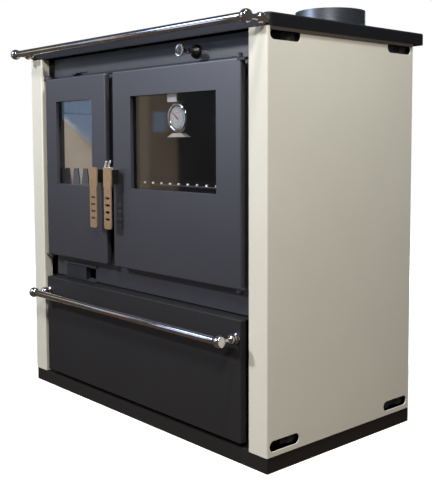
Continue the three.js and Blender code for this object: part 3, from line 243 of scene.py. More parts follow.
def dial_card():
    """Printed card: pale, with dark ticks in an outer ring and a thin grey inner ring."""
    made, tree, shader = material("printed_dial_card")
    where = add(tree, "ShaderNodeTexCoord").outputs["Object"]
    middle = tuple(at(extent("thermometer_dial")[2]))
    local = add(tree, "ShaderNodeVectorMath", {0: where, 1: middle}, operation="SUBTRACT").outputs[0]
    parts = add(tree, "ShaderNodeSeparateXYZ", {"Vector": local}).outputs
    across = add(tree, "ShaderNodeCombineXYZ", {"X": parts["X"], "Y": parts["Z"]}).outputs[0]
    radius = add(tree, "ShaderNodeVectorMath", {0: across}, operation="LENGTH").outputs["Value"]
    angle = add(tree, "ShaderNodeMath", {0: parts["Z"], 1: parts["X"]}, operation="ARCTAN2").outputs[0]
    turn = add(tree, "ShaderNodeMath", {0: angle, 1: math.pi / DIAL_TICKS}, operation="PINGPONG").outputs[0]
    tick = span(tree, turn, 1.0, 0.0, 0.018, 0.03)
    outer = span(tree, radius, 0.0, 1.0, TICK_RING[0] * MM, TICK_RING[1] * MM)
    ring = add(tree, "ShaderNodeMath", {0: tick, 1: outer}, operation="MULTIPLY").outputs[0]
    card = blend(tree, ring, "B9C3C8", "2B2C2E")
    band = add(tree, "ShaderNodeMath", {0: radius, 1: THIN_RING * MM, 2: THIN_RING_HALF * MM},
               operation="COMPARE").outputs[0]
    link(tree, shader, base_color=blend(tree, band, card, "6A6E72"))
    shader.inputs["Roughness"].default_value = 0.5
    return made


CREAM = painted("cream_stove_enamel", "D6D5C9", "DCDBD0", 0.32, 0.42, 1.11, 0.00015)
GREY = painted("satin_grey_stove_paint", "2C2D34", "32333B", 0.36, 0.46, 0.714, 0.0002, 0.9)
DRAWER = painted("matt_black_drawer_paint", "201F20", "252425", 0.55, 0.65, 0.714, 0.0002, 0.3)
HOB = painted("black_hob_paint", "141519", "1A1B20", 0.48, 0.6, 0.833, 0.0003, 0.2)
PLINTH = painted("black_plinth_paint", "1A1818", "201E1D", 0.45, 0.58, 1.11, 0.0003)
BLACK = painted("matt_black_stove_paint", "161617", "1E1E20", 0.5, 0.65, 1.11, 0.0003)
INSIDE = painted("dark_oven_enamel", "151517", "1C1C1F", 0.3, 0.4, 1.43, 0.0002)
STEEL = brushed("dark_sheet_steel", "3A3B3D", "515255", (1, 1, 8), 0.42)
COLLAR = brushed("collar_steel", "42464D", "5E636A", (1, 1, 12), 0.38, 0.8)
# Satin steel for the door handles: its tan base colour is a painted reflection of a warm floor.
TAN_REFLECTING_STEEL = brushed("satin_steel_painted_warm_reflection", "A98B6B", "C8AC8A", (6, 6, 1), 0.36, 0.65)
CHROME = chrome_plate()
IRON = iron("cast_iron", "1C1D20", "2A2C30", 0.55)
# Lighter grey iron for the log guard: painted reflection, standing for the blue-grey sheen its teeth show
# through the glass.
GUARD_IRON_SHEEN = iron("guard_iron_painted_sheen", "54585E", "666A71", 0.5)
FRAME = painted("gloss_black_enamel", "0B0B0C", "101012", 0.05, 0.09, 1.43, 0.00005, 1.0)
# Brown-black finish of the strips under the hob's edges: painted shade for the shadow of the hob's overhang.
UNDER_HOB_SHADE = painted("brown_black_painted_shade_strip", "3A342E", "453E37", 0.7, 0.85, 1.11, 0.0004, 0.3)
# Near-white finish for the balls on the rack's front wire ends: a painted highlight for the glints there.
TIP_HIGHLIGHT = brushed("wire_end_painted_highlight", "F0F0EE", "FFFFFF", (1, 1, 1), 0.2, 0.2)
NICKEL = brushed("satin_nickel", "C4C3C0", "DAD9D6", (6, 1, 1), 0.3, 0.55)
PLASTIC = painted("black_heatproof_moulding", "0D0D0D", "151515", 0.35, 0.5, 1.67, 0.0003)
BRICK = firebrick()
ROPE = rope_seal()
GLASS = stove_glass("clear_ceramic_glass", 0.0, 0.02)
LENS = stove_glass("thin_dial_glass", 0.0, 0.01)
DIAL = dial_card()
RED = painted("red_pointer_paint", "A22A22", "BC3A2E", 0.4, 0.5, 1.11, 0.0001)

FINISH = {
    "plinth": PLINTH, "right_side_casing": CREAM, "left_side_casing": CREAM, "back_panel": BLACK,
    "hob_frame": HOB, "hotplate": IRON, "hotplate_lid": IRON, "flue_collar": COLLAR,
    "inner_body": STEEL, "face_plate": GREY, "firebox_divider": STEEL, "grate_shelf": IRON,
    "fire_grate": IRON, "firebrick_left": BRICK, "firebrick_right": BRICK, "firebrick_back": BRICK,
    "log_guard": GUARD_IRON_SHEEN, "ash_shelf": STEEL, "ash_pan": STEEL, "oven_liner": INSIDE, "oven_rack": STEEL,
    "firebox_door": GREY, "firebox_glass": GLASS, "firebox_glass_frame": FRAME, "firebox_gasket": ROPE,
    "oven_door": GREY, "oven_glass": GLASS, "oven_glass_frame": FRAME, "oven_gasket": ROPE,
    "firebox_hinge_pin_top": BLACK, "firebox_hinge_pin_bottom": BLACK, "oven_hinge_pin_top": BLACK,
    "oven_hinge_pin_bottom": BLACK, "firebox_handle": TAN_REFLECTING_STEEL, "firebox_handle_block": PLASTIC,
    "firebox_latch_cam": STEEL, "oven_handle": TAN_REFLECTING_STEEL, "oven_handle_block": PLASTIC,
    "oven_latch_cam": STEEL, "latch_keeper": NICKEL, "thermometer_case": CHROME,
    "thermometer_dial": DIAL, "thermometer_needle": RED, "thermometer_glass": LENS,
    "thermometer_hanger": NICKEL, "drawer_front": DRAWER, "drawer_bin": STEEL,
    "hob_rail_post_left": CHROME, "hob_rail_post_right": CHROME, "drawer_rail_post_left": CHROME,
    "drawer_rail_post_right": CHROME, "hob_rail": CHROME, "drawer_rail": CHROME, "air_slide": GREY,
    "air_shutter": IRON, "damper_bush": PLASTIC, "damper_rod": CHROME, "damper_plate": STEEL,
}
for name, finish in FINISH.items():
    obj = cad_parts[name]
    if not obj.material_slots:
        obj.data.materials.append(finish)
    for holder in obj.material_slots:
        holder.material = finish


# Bevel widths of the CAD nodes whose edges catch a line of light, in millimetres.
EDGES = {
    "plinth": 1.4, "right_side_casing": 0.3, "left_side_casing": 0.3, "face_plate": 0.3, "hotplate": 0.5,
    "log_guard": 0.6, "air_slide": 0.4, "air_shutter": 0.6, "drawer_front": 2.0, "drawer_bin": 0.4,
    "firebox_door": 0.8, "oven_door": 0.8, "firebox_handle": 0.7, "oven_handle": 0.7,
    "firebox_handle_block": 1.5, "oven_handle_block": 1.5, "firebox_glass_frame": 0.8,
    "oven_glass_frame": 0.8, "ash_pan": 0.3,
}
for name, width in EDGES.items():
    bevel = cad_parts[name].modifiers.new("edges", "BEVEL")
    bevel.width = width * MM
    bevel.segments = 2
    bevel.limit_method = "ANGLE"
    bevel.angle_limit = math.radians(40)
    bevel.use_clamp_overlap = True


# ---------------------------------------------------------------- surfaces, in millimetres
def piece(name, surface, finish, body, stands_for=(), sharp=32.0):
    """A mesh from a (points, faces) surface: rides on a body and stands for the named nodes."""
    points, faces = surface
    mesh = bpy.data.meshes.new(name)
    mesh.from_pydata(at(points), [], faces)
    shell = bmesh.new()
    shell.from_mesh(mesh)
    bmesh.ops.recalc_face_normals(shell, faces=shell.faces)
    shell.to_mesh(mesh)
    shell.free()
    mesh.polygons.foreach_set("use_smooth", np.ones(len(mesh.polygons), dtype=bool))
    mesh.set_sharp_from_angle(angle=math.radians(sharp))
    mesh.materials.append(finish)
    obj = bpy.data.objects.new(name, mesh)
    bpy.context.scene.collection.objects.link(obj)
    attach(obj, body)
    if stands_for:
        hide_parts(*stands_for)


def merged(*surfaces):
    """Several surfaces as one: the faces of each count on from the points before it."""
    starts = np.cumsum([0] + [len(points) for points, _ in surfaces])
    faces = [[start + i for i in face]
             for start, (_, some) in zip(starts.tolist(), surfaces) for face in some]
    return np.vstack([points for points, _ in surfaces]), faces


def bands(rings, sides, closed=False):
    """Quads between each ring of points and the next, and between the last and the first if closed."""
    ring = np.arange(rings if closed else rings - 1)[:, None]
    side = np.arange(sides)[None, :]
    after, beside = (ring + 1) % rings * sides, (side + 1) % sides
    corners = (ring * sides + side, ring * sides + beside, after + beside, after + side)
    return np.stack(corners, axis=-1).reshape(-1, 4).tolist()


def capped(rings, sides):
    """The bands of a row of rings, and a flat face on its first and on its last ring."""
    last = (rings - 1) * sides
    return bands(rings, sides) + [list(range(sides)), list(range(last, last + sides))]


def arc(radius, middle, start, end, steps):
    """Profile points at radius times (sin, cos) of an angle in degrees, with the centre at (0, middle)."""
    turns = np.radians(np.linspace(start, end, steps))
    return np.column_stack((radius * np.sin(turns), middle + radius * np.cos(turns)))


def rounded(corners, radius, steps=4):
    """A closed outline with its corners off the axis rounded.

    Each corner gives way to the curve (1 - t)^2 first + 2 t (1 - t) corner + t^2 last, where first and
    last lie the radius before and after the corner, or 45 % of the way to its nearer neighbour.
    """
    here = np.array(corners, dtype=float)
    back, onward = np.roll(here, 1, axis=0) - here, np.roll(here, -1, axis=0) - here
    reach = np.linalg.norm(back, axis=1, keepdims=True), np.linalg.norm(onward, axis=1, keepdims=True)
    size = np.minimum(radius, 0.45 * np.minimum(*reach)) * (here[:, :1] > 0)
    first, last = here + back / reach[0] * size, here + onward / reach[1] * size
    t = np.linspace(0, 1, steps)[:, None, None]
    curves = (1 - t) ** 2 * first + 2 * t * (1 - t) * here + t ** 2 * last
    kept = np.ones((len(here), steps), dtype=bool)
    kept[here[:, 0] <= 0, 1:] = False
    return curves.transpose(1, 0, 2)[kept]


def turned(profile, centre, axis, sides=64):
    """Revolves a profile of (radius, height along the axis) about a line through centre.

    A point lies at its radius times (cos, sin) of its angle in the two directions across the axis, and at
    its height along it. A profile that starts and ends on the axis gets a pole at each end, and any other
    closes from its last ring to its first.
    """
    profile = np.array(profile, dtype=float)
    solid = profile[0, 0] < 1e-6
    rings = profile[1:-1] if solid else profile
    across, beside, along = {"x": (1, 2, 0), "y": (0, 2, 1), "z": (0, 1, 2)}[axis]
    angles = np.linspace(0, 2 * math.pi, sides, endpoint=False)
    points = np.empty((len(rings), sides, 3))
    points[..., across] = rings[:, :1] * np.cos(angles)
    points[..., beside] = rings[:, :1] * np.sin(angles)
    points[..., along] = rings[:, 1:]
    points = points.reshape(-1, 3)
    faces = bands(len(rings), sides, closed=not solid)
    if solid:
        poles = np.zeros((2, 3))
        poles[:, along] = profile[[0, -1], 1]
        edge = np.arange(sides)
        for pole, ring in ((len(points), 0), (len(points) + 1, len(points) - sides)):
            fan = (np.full(sides, pole), ring + edge, ring + (edge + 1) % sides)
            faces += np.column_stack(fan).tolist()
        points = np.vstack((points, poles))
    return points + centre, faces


def tube(path, radius, sides):
    """A round bar along a path: rings of radius times (cos, sin) across it, carried on without a twist.

    Two smaller rings past each end round it off.
    """
    path = np.array(path, dtype=float)
    ahead = np.gradient(path, axis=0)
    ahead /= np.linalg.norm(ahead, axis=1, keepdims=True)
    carried = [np.cross(ahead[0], (0, 1, 0) if abs(ahead[0, 1]) < 0.9 else (1, 0, 0))]
    for way in ahead:
        level = carried[-1] - way * way.dot(carried[-1])
        carried.append(level / np.linalg.norm(level))
    side = np.array(carried[1:])
    other = np.cross(ahead, side)
    inner = len(path) - 2
    at_path = np.array([0] * 3 + list(range(1, inner + 1)) + [inner + 1] * 3)
    shift = np.array([-0.9, -0.6, 0.0] + [0.0] * inner + [0.0, 0.6, 0.9])[:, None] * radius
    size = np.array([0.35, 0.8, 1.0] + [1.0] * inner + [1.0, 0.8, 0.35])[:, None, None] * radius
    angles = np.linspace(0, 2 * math.pi, sides, endpoint=False)[:, None]
    ring = np.cos(angles) * side[at_path, None] + np.sin(angles) * other[at_path, None]
    points = (path[at_path] + ahead[at_path] * shift)[:, None] + ring * size
    return points.reshape(-1, 3), capped(len(at_path), sides)


def plate(x0, x1, y0, y1, z0, z1, edge):
    """A cut plate or bar with chamfered edges: four outlines along Y, the first and the last inset."""
    inset = np.array([edge, 0, 0, edge])[:, None]
    x = np.hstack((x0 + inset, x1 - inset, x1 - inset, x0 + inset))
    z = np.hstack((z0 + inset, z0 + inset, z1 - inset, z1 - inset))
    y = np.array([y0, y0 + edge, y1 - edge, y1])[:, None] + np.zeros(4)
    return np.dstack((x, y, z)).reshape(-1, 3), capped(4, 4)


def foot_plate(middle, half, top_half, y0, y1, z0, z1):
    """A sloping foot: its half width shrinks from half to top_half as the 0.8th power of its height."""
    t = np.linspace(0, 1, 9)
    x, z = middle - half + (half - top_half) * t ** 0.8, z0 + (z1 - z0) * t
    outline_x, outline_z = np.hstack((x, 2 * middle - x[::-1])), np.hstack((z, z[::-1]))
    points = [np.column_stack((outline_x, np.full(len(outline_x), y), outline_z)) for y in (y0, y1)]
    return np.vstack(points), capped(2, len(outline_x))


# ---------------------------------------------------------------- rails on the hob and the drawer
RAIL_RADIUS, RAIL_END_GAP = 8.0, 12.8         # the bar, and from its end to the middle of the end ball
BALL_RADIUS, BALL_FLAT = 12.5, 7.5            # the ball at the bar's end is cut flat on its outer side
BULB_RADIUS, BULB_REACH = 10.0, 14.0          # the bulb on the post, and from its middle to the post's foot


def rail_end(x, y, z, foot, side):
    """A post turned about Y from its foot over a bulb to the ball, and the ball turned about X."""
    bulb = foot - BULB_REACH
    profile = [(0, foot), (10, foot), (10, foot - 2.4), (8.6, foot - 3.4), (7.0, foot - 4.6)]
    profile += [(r, 2 * bulb - h) for r, h in arc(BULB_RADIUS, bulb, 138, 36, 14)]
    profile += [(5.2, bulb - 10.4), (5.0, bulb - 11.5), (5.0, y + 4), (0, y + 4)]
    post = turned([(r, h - y) for r, h in profile], (x, y, z), "y", 48)
    ball = [(r, h) for r, h in arc(BALL_RADIUS, 0.0, 180, 55, 22)]
    ball += [(9.6, BALL_FLAT), (8.8, BALL_FLAT), (8.2, BALL_FLAT - 0.5), (0, BALL_FLAT - 0.5)]
    return merged(post, turned([(r, side * h) for r, h in ball], (x, y, z), "x", 48))


for prefix, body in (("hob", "body"), ("drawer", "drawer")):
    low, high, (_, y, z) = extent(f"{prefix}_rail")
    foot = extent(f"{prefix}_rail_post_left")[1][1]
    bar = rounded([(0, low[0]), (RAIL_RADIUS, low[0]), (RAIL_RADIUS, high[0]), (0, high[0])], 1.0)
    piece(f"{prefix}_rail_tube", turned(bar, (0, y, z), "x"), CHROME, body, (f"{prefix}_rail",))
    for side, word in ((-1, "left"), (1, "right")):
        end = rail_end(side * (high[0] + RAIL_END_GAP), y, z, foot, side)
        piece(f"{prefix}_rail_end_{word}", end, CHROME, body, (f"{prefix}_rail_post_{word}",))

# ---------------------------------------------------------------- flue collar and damper knob
PIPE_RADIUS, PIPE_WALL = 77.0, 1.8
hob_top = extent("hob_frame")[1][2]
low, high, (x, y, _) = extent("flue_collar")
flange, rim = high[0] - x, high[2]
inside = PIPE_RADIUS - PIPE_WALL
collar = [(inside, low[2]), (PIPE_RADIUS, low[2]), (PIPE_RADIUS, hob_top + 0.3), (flange, hob_top + 0.3),
          (flange, hob_top + 4.3), (PIPE_RADIUS + 1.5, hob_top + 4.3), (PIPE_RADIUS, hob_top + 6),
          (PIPE_RADIUS, rim - 1.4), (PIPE_RADIUS, rim), (inside, rim)]
piece("flue_collar_rolled", turned(rounded(collar, 0.8, 3), (x, y, 0), "z", 128), COLLAR, "body",
      ("flue_collar",), 40)

(_, knob_face, _), (_, rod_end, _), (x, _, z) = extent("damper_rod")
rod = [(0, knob_face), (4.5, -15.6), (9, -15.4), (11.4, -15.9), (12.6, -15.2), (13, -14.0), (12.8, -12.9),
       (11.6, -12.1), (8, -11.2), (5.4, -10.4), (4.2, -8.5), (3.5, -6), (3.5, 2.6), (4.6, 3.2),
       (5.4, 5.2), (5.5, 7), (5.4, 8.8), (4.6, 10.8), (3.5, 11.4), (3.5, rod_end), (0, rod_end)]
piece("damper_knob_and_rod", turned(rod, (x, 0, z), "y", 48), CHROME, "damper", ("damper_rod",))
bush = [(3.9, 16.5), (6.2, 16.5), (12.8, 24.6), (14, 25.6), (14, 29.7), (11, 29.7), (11, 34), (3.9, 34)]
piece("damper_bush_cone", turned(rounded(bush, 0.8), (x, 0, z), "y", 48), PLASTIC, "body", ("damper_bush",))

# ---------------------------------------------------------------- thermometer behind the oven glass
_, _, (x, _, z) = extent("thermometer_dial")
case = [(0, 28.2), (22.4, 28.2), (22.8, 26.4), (24.2, 24.9), (26.4, 24.0), (29.0, 24.3), (31.2, 25.8),
        (32, 28.4), (32, 33.6), (30.4, 36), (0, 36)]
card_edge = [(0, 26.6), (22.2, 26.6), (22.2, 27.6), (0, 27.6)]
lens = [(0, 24.3), (12, 24.4), (20, 24.8), (22.6, 25.4), (22.6, 25.6), (0, 25.5)]
for name, profile, finish, node in (("bezel", rounded(case, 0.8), CHROME, "case"),
                                    ("card", card_edge, DIAL, "dial"), ("lens", lens, LENS, "glass")):
    piece(f"thermometer_{name}", turned(profile, (x, 0, z), "y", 96), finish, "oven_door",
          (f"thermometer_{node}",))

TAB_HALF, STRIP_HALF, STRIP = 15.5, 8.0, 1.5  # half widths of the hanger's tab and strip, and their sheet
SHELF_RISE, TAB_BACK, SHELF_FRONT = 72.6, 34.0, 32.8
low, high, _ = extent("thermometer_hanger")
shelf, back = low[2] + SHELF_RISE, high[1]
left = x - TAB_HALF - 3.0                     # the tab stands a little left of the dial's middle
hanger = merged(plate(left, left + 2 * TAB_HALF, low[1], low[1] + STRIP, shelf, high[2], 0.4),
                plate(left, left + 2 * TAB_HALF, low[1] + 0.1, TAB_BACK, shelf, shelf + STRIP, 0.4),
                plate(x - STRIP_HALF, x + STRIP_HALF, SHELF_FRONT, back, shelf, shelf + STRIP, 0.4),
                plate(x - STRIP_HALF, x + STRIP_HALF, back - STRIP, back, low[2] + 0.8, shelf + STRIP, 0.4),
                foot_plate(x, high[0] - x, 15.0, 25.0, back - 0.2, low[2], low[2] + 8.0))
piece("thermometer_stand", hanger, NICKEL, "oven_door", ("thermometer_hanger",))

# ---------------------------------------------------------------- latch keeper between the doors
PRONGS_AT, PRONG_RADIUS, PRONG_RISE, PRONG_LEAN = (-88.6, -75.0), 2.5, 17.4, 6.0
KEEPER_FRONT, KEEPER_BAR, KEEPER_BAR_HALF = -5.0, 4.0, 13.4


def prong(x, foot):
    """A bar whose middle line leans right as the 1.6th power of its rise."""
    t = np.linspace(0, 1, 12)
    path = np.column_stack((x + PRONG_LEAN * t ** 1.6, KEEPER_FRONT + t, foot + PRONG_RISE * t))
    return tube(path, PRONG_RADIUS, 20)


low, high, (x, _, _) = extent("latch_keeper")
bar = rounded([(0, -KEEPER_BAR_HALF), (KEEPER_BAR, -KEEPER_BAR_HALF), (KEEPER_BAR, KEEPER_BAR_HALF),
               (0, KEEPER_BAR_HALF)], 0.8)
keeper = merged(*[prong(place_x, low[2] + 3) for place_x in PRONGS_AT],
                plate(low[0], high[0], KEEPER_FRONT, high[1], low[2], low[2] + 7.8, 1.0),
                turned(bar, (x, KEEPER_FRONT, low[2] + 4), "x", 32))
piece("latch_keeper_prongs", keeper, NICKEL, "body", ("latch_keeper",))

# ---------------------------------------------------------------- oven rack of round wire
FRAME_WIRE, CROSS_WIRE, LONG_WIRE, TIP = 3.0, 2.8, 2.2, 3.1     # radii
WIRE_PITCH, WIRE_COUNT, CORNER_BEND, END_BEND = 30.0, 11, 12.0, 3.0
low, high, (middle_x, middle_y, _) = extent("oven_rack")
frame_z = low[2] + FRAME_WIRE
left, right = low[0] + FRAME_WIRE, high[0] - FRAME_WIRE
front, rear = low[1] + 4.0, high[1] - 4.0
quarter = np.radians(np.linspace(0, 90, 7))


def frame_wire():
    """The frame's loop: a quarter circle at each corner, closed in the middle of its back side."""
    gap = 0.01
    outward, bend = CORNER_BEND * (1 - np.sin(quarter)), CORNER_BEND * (1 - np.cos(quarter))
    level = np.full(len(quarter), frame_z)
    corners = [np.column_stack((left + outward, rear - bend, level)),
               np.column_stack((left + outward, front + bend, level))[::-1],
               np.column_stack((right - outward, front + bend, level)),
               np.column_stack((right - outward, rear - bend, level))[::-1]]
    start = (middle_x, rear, frame_z)
    return tube(np.vstack([start] + corners + [(middle_x + gap, rear, frame_z)]), FRAME_WIRE, 12)


wires = [frame_wire(), tube([(left + 1, middle_y, frame_z), (right - 1, middle_y, frame_z)], CROSS_WIRE, 12)]
tip_highlights = []
for x in middle_x + WIRE_PITCH * (np.arange(WIRE_COUNT) - WIRE_COUNT // 2):
    wire_z = high[2] - LONG_WIRE
    bend = np.column_stack((np.full(len(quarter), x), front + 1.2 - END_BEND * np.sin(quarter),
                            wire_z - END_BEND + END_BEND * np.cos(quarter)))
    path = np.vstack([(x, rear + 1, wire_z), bend, (x, front - 1.8, frame_z - 0.6)])
    wires.append(tube(path, LONG_WIRE, 12))
    tip_highlights.append(turned(arc(TIP, 0.0, 0, 180, 9), (x, front - 1.4, wire_z - 1.0), "y", 16))
piece("oven_rack_wires", merged(*wires), STEEL, "body", ("oven_rack",))
# The near-white tip balls are a painted highlight standing for the glints on the front wire ends.
piece("oven_rack_wire_tip_highlights", merged(*tip_highlights), TIP_HIGHLIGHT, "body")

# ---------------------------------------------------------------- thin sheets, leaves, and strips of painted shade
# Black hinge leaves at the top and bottom of the oven door's outer edge.
LEAF_ON_DOOR, LEAF_BEYOND = 9.5, 11.0
low, high, _ = extent("oven_door")
for word, z0, z1 in (("top", high[2] - 5.6, high[2] - 0.2), ("bottom", low[2] + 0.2, low[2] + 5.0)):
    leaf = plate(high[0] - LEAF_ON_DOOR, high[0] + LEAF_BEYOND, low[1] - 0.8, low[1] + 6.5, z0, z1, 0.4)
    piece(f"oven_hinge_leaf_{word}", leaf, BLACK, "oven_door")

# A black strip on the face plate behind the top edges of the doors: painted shade for the shadow in the gap
# above the doors.
GAP_SHADE_HALF, GAP_SHADE_FRONT, GAP_SHADE_BACK, GAP_SHADE_LIFT, GAP_SHADE_HEIGHT = 338.0, 26.8, 29.9, 1.5, 5.6
foot = high[2] + GAP_SHADE_LIFT
gap_shade = plate(-GAP_SHADE_HALF, GAP_SHADE_HALF, GAP_SHADE_FRONT, GAP_SHADE_BACK, foot, foot + GAP_SHADE_HEIGHT, 0.8)
piece("door_top_gap_shade", gap_shade, BLACK, "body")

# Black ribbed sheets inside the side casings, hooked on the inner body, behind the round-ended slots:
# they close the view through the slots, and their black is painted shade for the casings' dark inside.
SHEET, RIB_PITCH, RIB_COUNT, RIB_DEPTH = 1.2, 43.0, 9, 4.0
SHEET_WEB = 416.0                             # from the stove's middle to the web
SHEET_FRONT, SHEET_REAR, SHEET_FOOT, SHEET_TOP = 44.0, 431.0, 45.0, 818.0


def side_sheet(side):
    """A folded sheet: a web with upright ribs, and a flange at each end that reaches the inner body."""
    hook = extent("inner_body")[1][0] + 0.4
    ribs = SHEET_FRONT + 14.0 + RIB_PITCH * np.arange(RIB_COUNT)[:, None] + np.array([0.0, 6.0, 16.0, 22.0])
    steps = np.tile([0.0, RIB_DEPTH, RIB_DEPTH, 0.0], RIB_COUNT)
    x = np.hstack((hook, SHEET_WEB, SHEET_WEB + steps, SHEET_WEB, hook))
    y = np.hstack((SHEET_FRONT, SHEET_FRONT, ribs.ravel(), SHEET_REAR, SHEET_REAR))
    inner_x, inner_y = x - SHEET, y.copy()
    inner_x[[0, -1]] = hook
    inner_y[:2] += SHEET
    inner_y[-2:] -= SHEET
    outline = side * np.hstack((x, inner_x[::-1])), np.hstack((y, inner_y[::-1]))
    points = [np.column_stack((*outline, np.full(2 * len(x), z))) for z in (SHEET_FOOT, SHEET_TOP)]
    step = np.arange(len(x) - 1)
    strip = np.column_stack((step, step + 1, 2 * len(x) - 2 - step, 2 * len(x) - 1 - step))
    return np.vstack(points), bands(2, 2 * len(x)) + strip.tolist() + (strip + 2 * len(x)).tolist()


# Dark strips under the hob's side edges, on the casings: painted shade for the shadow under the hob's
# overhang.
SHADE_STRIP_FRONT, SHADE_STRIP_BACK, SHADE_STRIP_FOOT, SHADE_STRIP_TOP = 6.0, 437.0, 818.0, 824.7
casing = extent("right_side_casing")[1][0]
for side, word in ((-1, "left"), (1, "right")):
    x0, x1 = sorted((side * (casing + 0.15), side * (casing + 1.7)))
    strip = plate(x0, x1, SHADE_STRIP_FRONT, SHADE_STRIP_BACK, SHADE_STRIP_FOOT, SHADE_STRIP_TOP, 0.4)
    piece(f"hob_shade_strip_{word}", strip, UNDER_HOB_SHADE, "body")
    piece(f"side_slot_shade_sheet_{word}", side_sheet(side), BLACK, "body", (), 20)


# ---------------------------------------------------------------- camera, solved from the photograph
PICTURE_WIDTH, PICTURE_HEIGHT = 432.0, 478.0  # pixels
FOCAL, CENTRE_X, CENTRE_Y = 815.766, 219.351, 201.802           # focal length and picture centre, in pixels
YAW, PITCH, ROLL = 0.841113621, 0.0726088419, -0.00316539716    # radians
CAMERA_AT = (1464.059, -1045.298, 616.215)    # millimetres
SENSOR = 36.0                                 # width of the film, in millimetres


def make_camera():
    """The camera in its place: it looks along yaw and pitch, and rolls about that line."""
    look = np.array([-math.sin(YAW) * math.cos(PITCH), math.cos(YAW) * math.cos(PITCH), -math.sin(PITCH)])
    right = np.array([math.cos(YAW), math.sin(YAW), 0.0])
    up = np.cross(right, look)
    across = math.cos(ROLL) * right + math.sin(ROLL) * up
    above = -math.sin(ROLL) * right + math.cos(ROLL) * up
    data = bpy.data.cameras.new("camera")
    data.sensor_fit = "AUTO"
    data.sensor_width = SENSOR
    data.lens = FOCAL * SENSOR / PICTURE_HEIGHT
    data.shift_x = (PICTURE_WIDTH / 2 - CENTRE_X) / PICTURE_HEIGHT
    data.shift_y = (CENTRE_Y - PICTURE_HEIGHT / 2) / PICTURE_HEIGHT
    data.clip_start = 0.05
    camera = bpy.data.objects.new("camera", data)
    bpy.context.scene.collection.objects.link(camera)
    turn = Matrix((across, above, -look)).transposed().to_4x4()
    camera.matrix_world = Matrix.Translation(Vector(at(CAMERA_AT))) @ turn
    bpy.context.scene.camera = camera


make_camera()

# ---------------------------------------------------------------- stage, in metres
FLOOR_HALF, FLOOR_DROP, FLOOR_GLOW = 9.0, 0.0005, 0.72
FLOOR_NEAR, FLOOR_FAR = 0.7, 1.9              # the glow grows to full white between these distances
ROOM_SIZE, ROOM_EYE = (9.0, 9.0, 5.0), 0.6
ROOM_LOW, ROOM_STRENGTH = "7A6A5F", 0.5
SKY_LOW, SKY_MIDDLE, SKY_HIGH, SKY_STRENGTH = "40382F", "77777A", "6E737A", 0.52


def stage_material(name):
    """A node material with an empty tree."""
    made = bpy.data.materials.new(name)
    made.use_nodes = True
    made.node_tree.nodes.clear()
    return made, made.node_tree


def stage_object(name, corners, faces, finish):
    """A mesh of the stage."""
    mesh = bpy.data.meshes.new(name)
    mesh.from_pydata(corners, [], faces)
    mesh.materials.append(finish)
    obj = bpy.data.objects.new(name, mesh)
    bpy.context.scene.collection.objects.link(obj)
    return obj


def for_reflections(obj):
    """Hides a stage object from everything but glossy rays."""
    obj.visible_camera = False
    obj.visible_shadow = False
    obj.visible_transmission = False
    obj.visible_diffuse = False


def background_rays(tree):
    """One where a camera, glossy or transmission ray looks, nought for the rays that light the object."""
    path = add(tree, "ShaderNodeLightPath").outputs
    share = add(tree, "ShaderNodeMath", {0: path["Is Camera Ray"], 1: path["Is Glossy Ray"]},
                operation="MAXIMUM").outputs[0]
    return add(tree, "ShaderNodeMath", {0: share, 1: path["Is Transmission Ray"]},
               operation="MAXIMUM").outputs[0]


def by_direction(tree, height, low):
    """A warm dark colour below eye level, grey at it and above, by the height of the direction."""
    lower = blend(tree, span(tree, height, 0.0, 1.0, -0.35, 0.1), low, SKY_MIDDLE)
    return blend(tree, span(tree, height, 0.0, 1.0, 0.15, 0.75), lower, SKY_HIGH)


def make_floor():
    """A wide pale floor with the stove's shadow on it; bounced light finds a darker warm tone."""
    finish, tree = stage_material("pale_studio_floor")
    spot = add(tree, "ShaderNodeTexCoord").outputs["Object"]
    reach = add(tree, "ShaderNodeVectorMath", {0: spot}, operation="LENGTH").outputs["Value"]
    strength = span(tree, reach, FLOOR_GLOW, 1.0, FLOOR_NEAR, FLOOR_FAR)
    glow = add(tree, "ShaderNodeEmission", {"Color": (1, 1, 1, 1), "Strength": strength}).outputs[0]
    caught = add(tree, "ShaderNodeBsdfDiffuse", {"Color": colour("E8E6E3")}).outputs[0]
    seen = add(tree, "ShaderNodeAddShader", {0: glow, 1: caught}).outputs[0]
    bounced = add(tree, "ShaderNodeBsdfDiffuse", {"Color": colour("6B5F52")}).outputs[0]
    mixed = add(tree, "ShaderNodeMixShader", {0: background_rays(tree), 1: bounced, 2: seen}).outputs[0]
    add(tree, "ShaderNodeOutputMaterial", {"Surface": mixed})
    corners = [(FLOOR_HALF * x, FLOOR_HALF * y, 0) for x, y in ((-1, -1), (1, -1), (1, 1), (-1, 1))]
    stage_object("floor", corners, [(0, 1, 2, 3)], finish).location.z = -FLOOR_DROP


def make_room():
    """The dark room round the stove, a box from the floor up, seen by reflections alone."""
    finish, tree = stage_material("dark_room_walls")
    spot = add(tree, "ShaderNodeTexCoord").outputs["Object"]
    way = add(tree, "ShaderNodeVectorMath", {0: spot, 1: (0.0, 0.0, ROOM_EYE)},
              operation="SUBTRACT").outputs[0]
    way = add(tree, "ShaderNodeVectorMath", {0: way}, operation="NORMALIZE").outputs[0]
    height = add(tree, "ShaderNodeSeparateXYZ", {"Vector": way}).outputs["Z"]
    shade = by_direction(tree, height, ROOM_LOW)
    emit = add(tree, "ShaderNodeEmission", {"Color": shade, "Strength": ROOM_STRENGTH}).outputs[0]
    add(tree, "ShaderNodeOutputMaterial", {"Surface": emit})
    x, y, z = ROOM_SIZE[0] / 2, ROOM_SIZE[1] / 2, ROOM_SIZE[2]
    corners = [(a * x, b * y, c * z) for c in (0, 1) for a, b in ((-1, -1), (1, -1), (1, 1), (-1, 1))]
    room = stage_object("room", corners, capped(2, 4), finish)
    room.location.z = 0.001
    for_reflections(room)


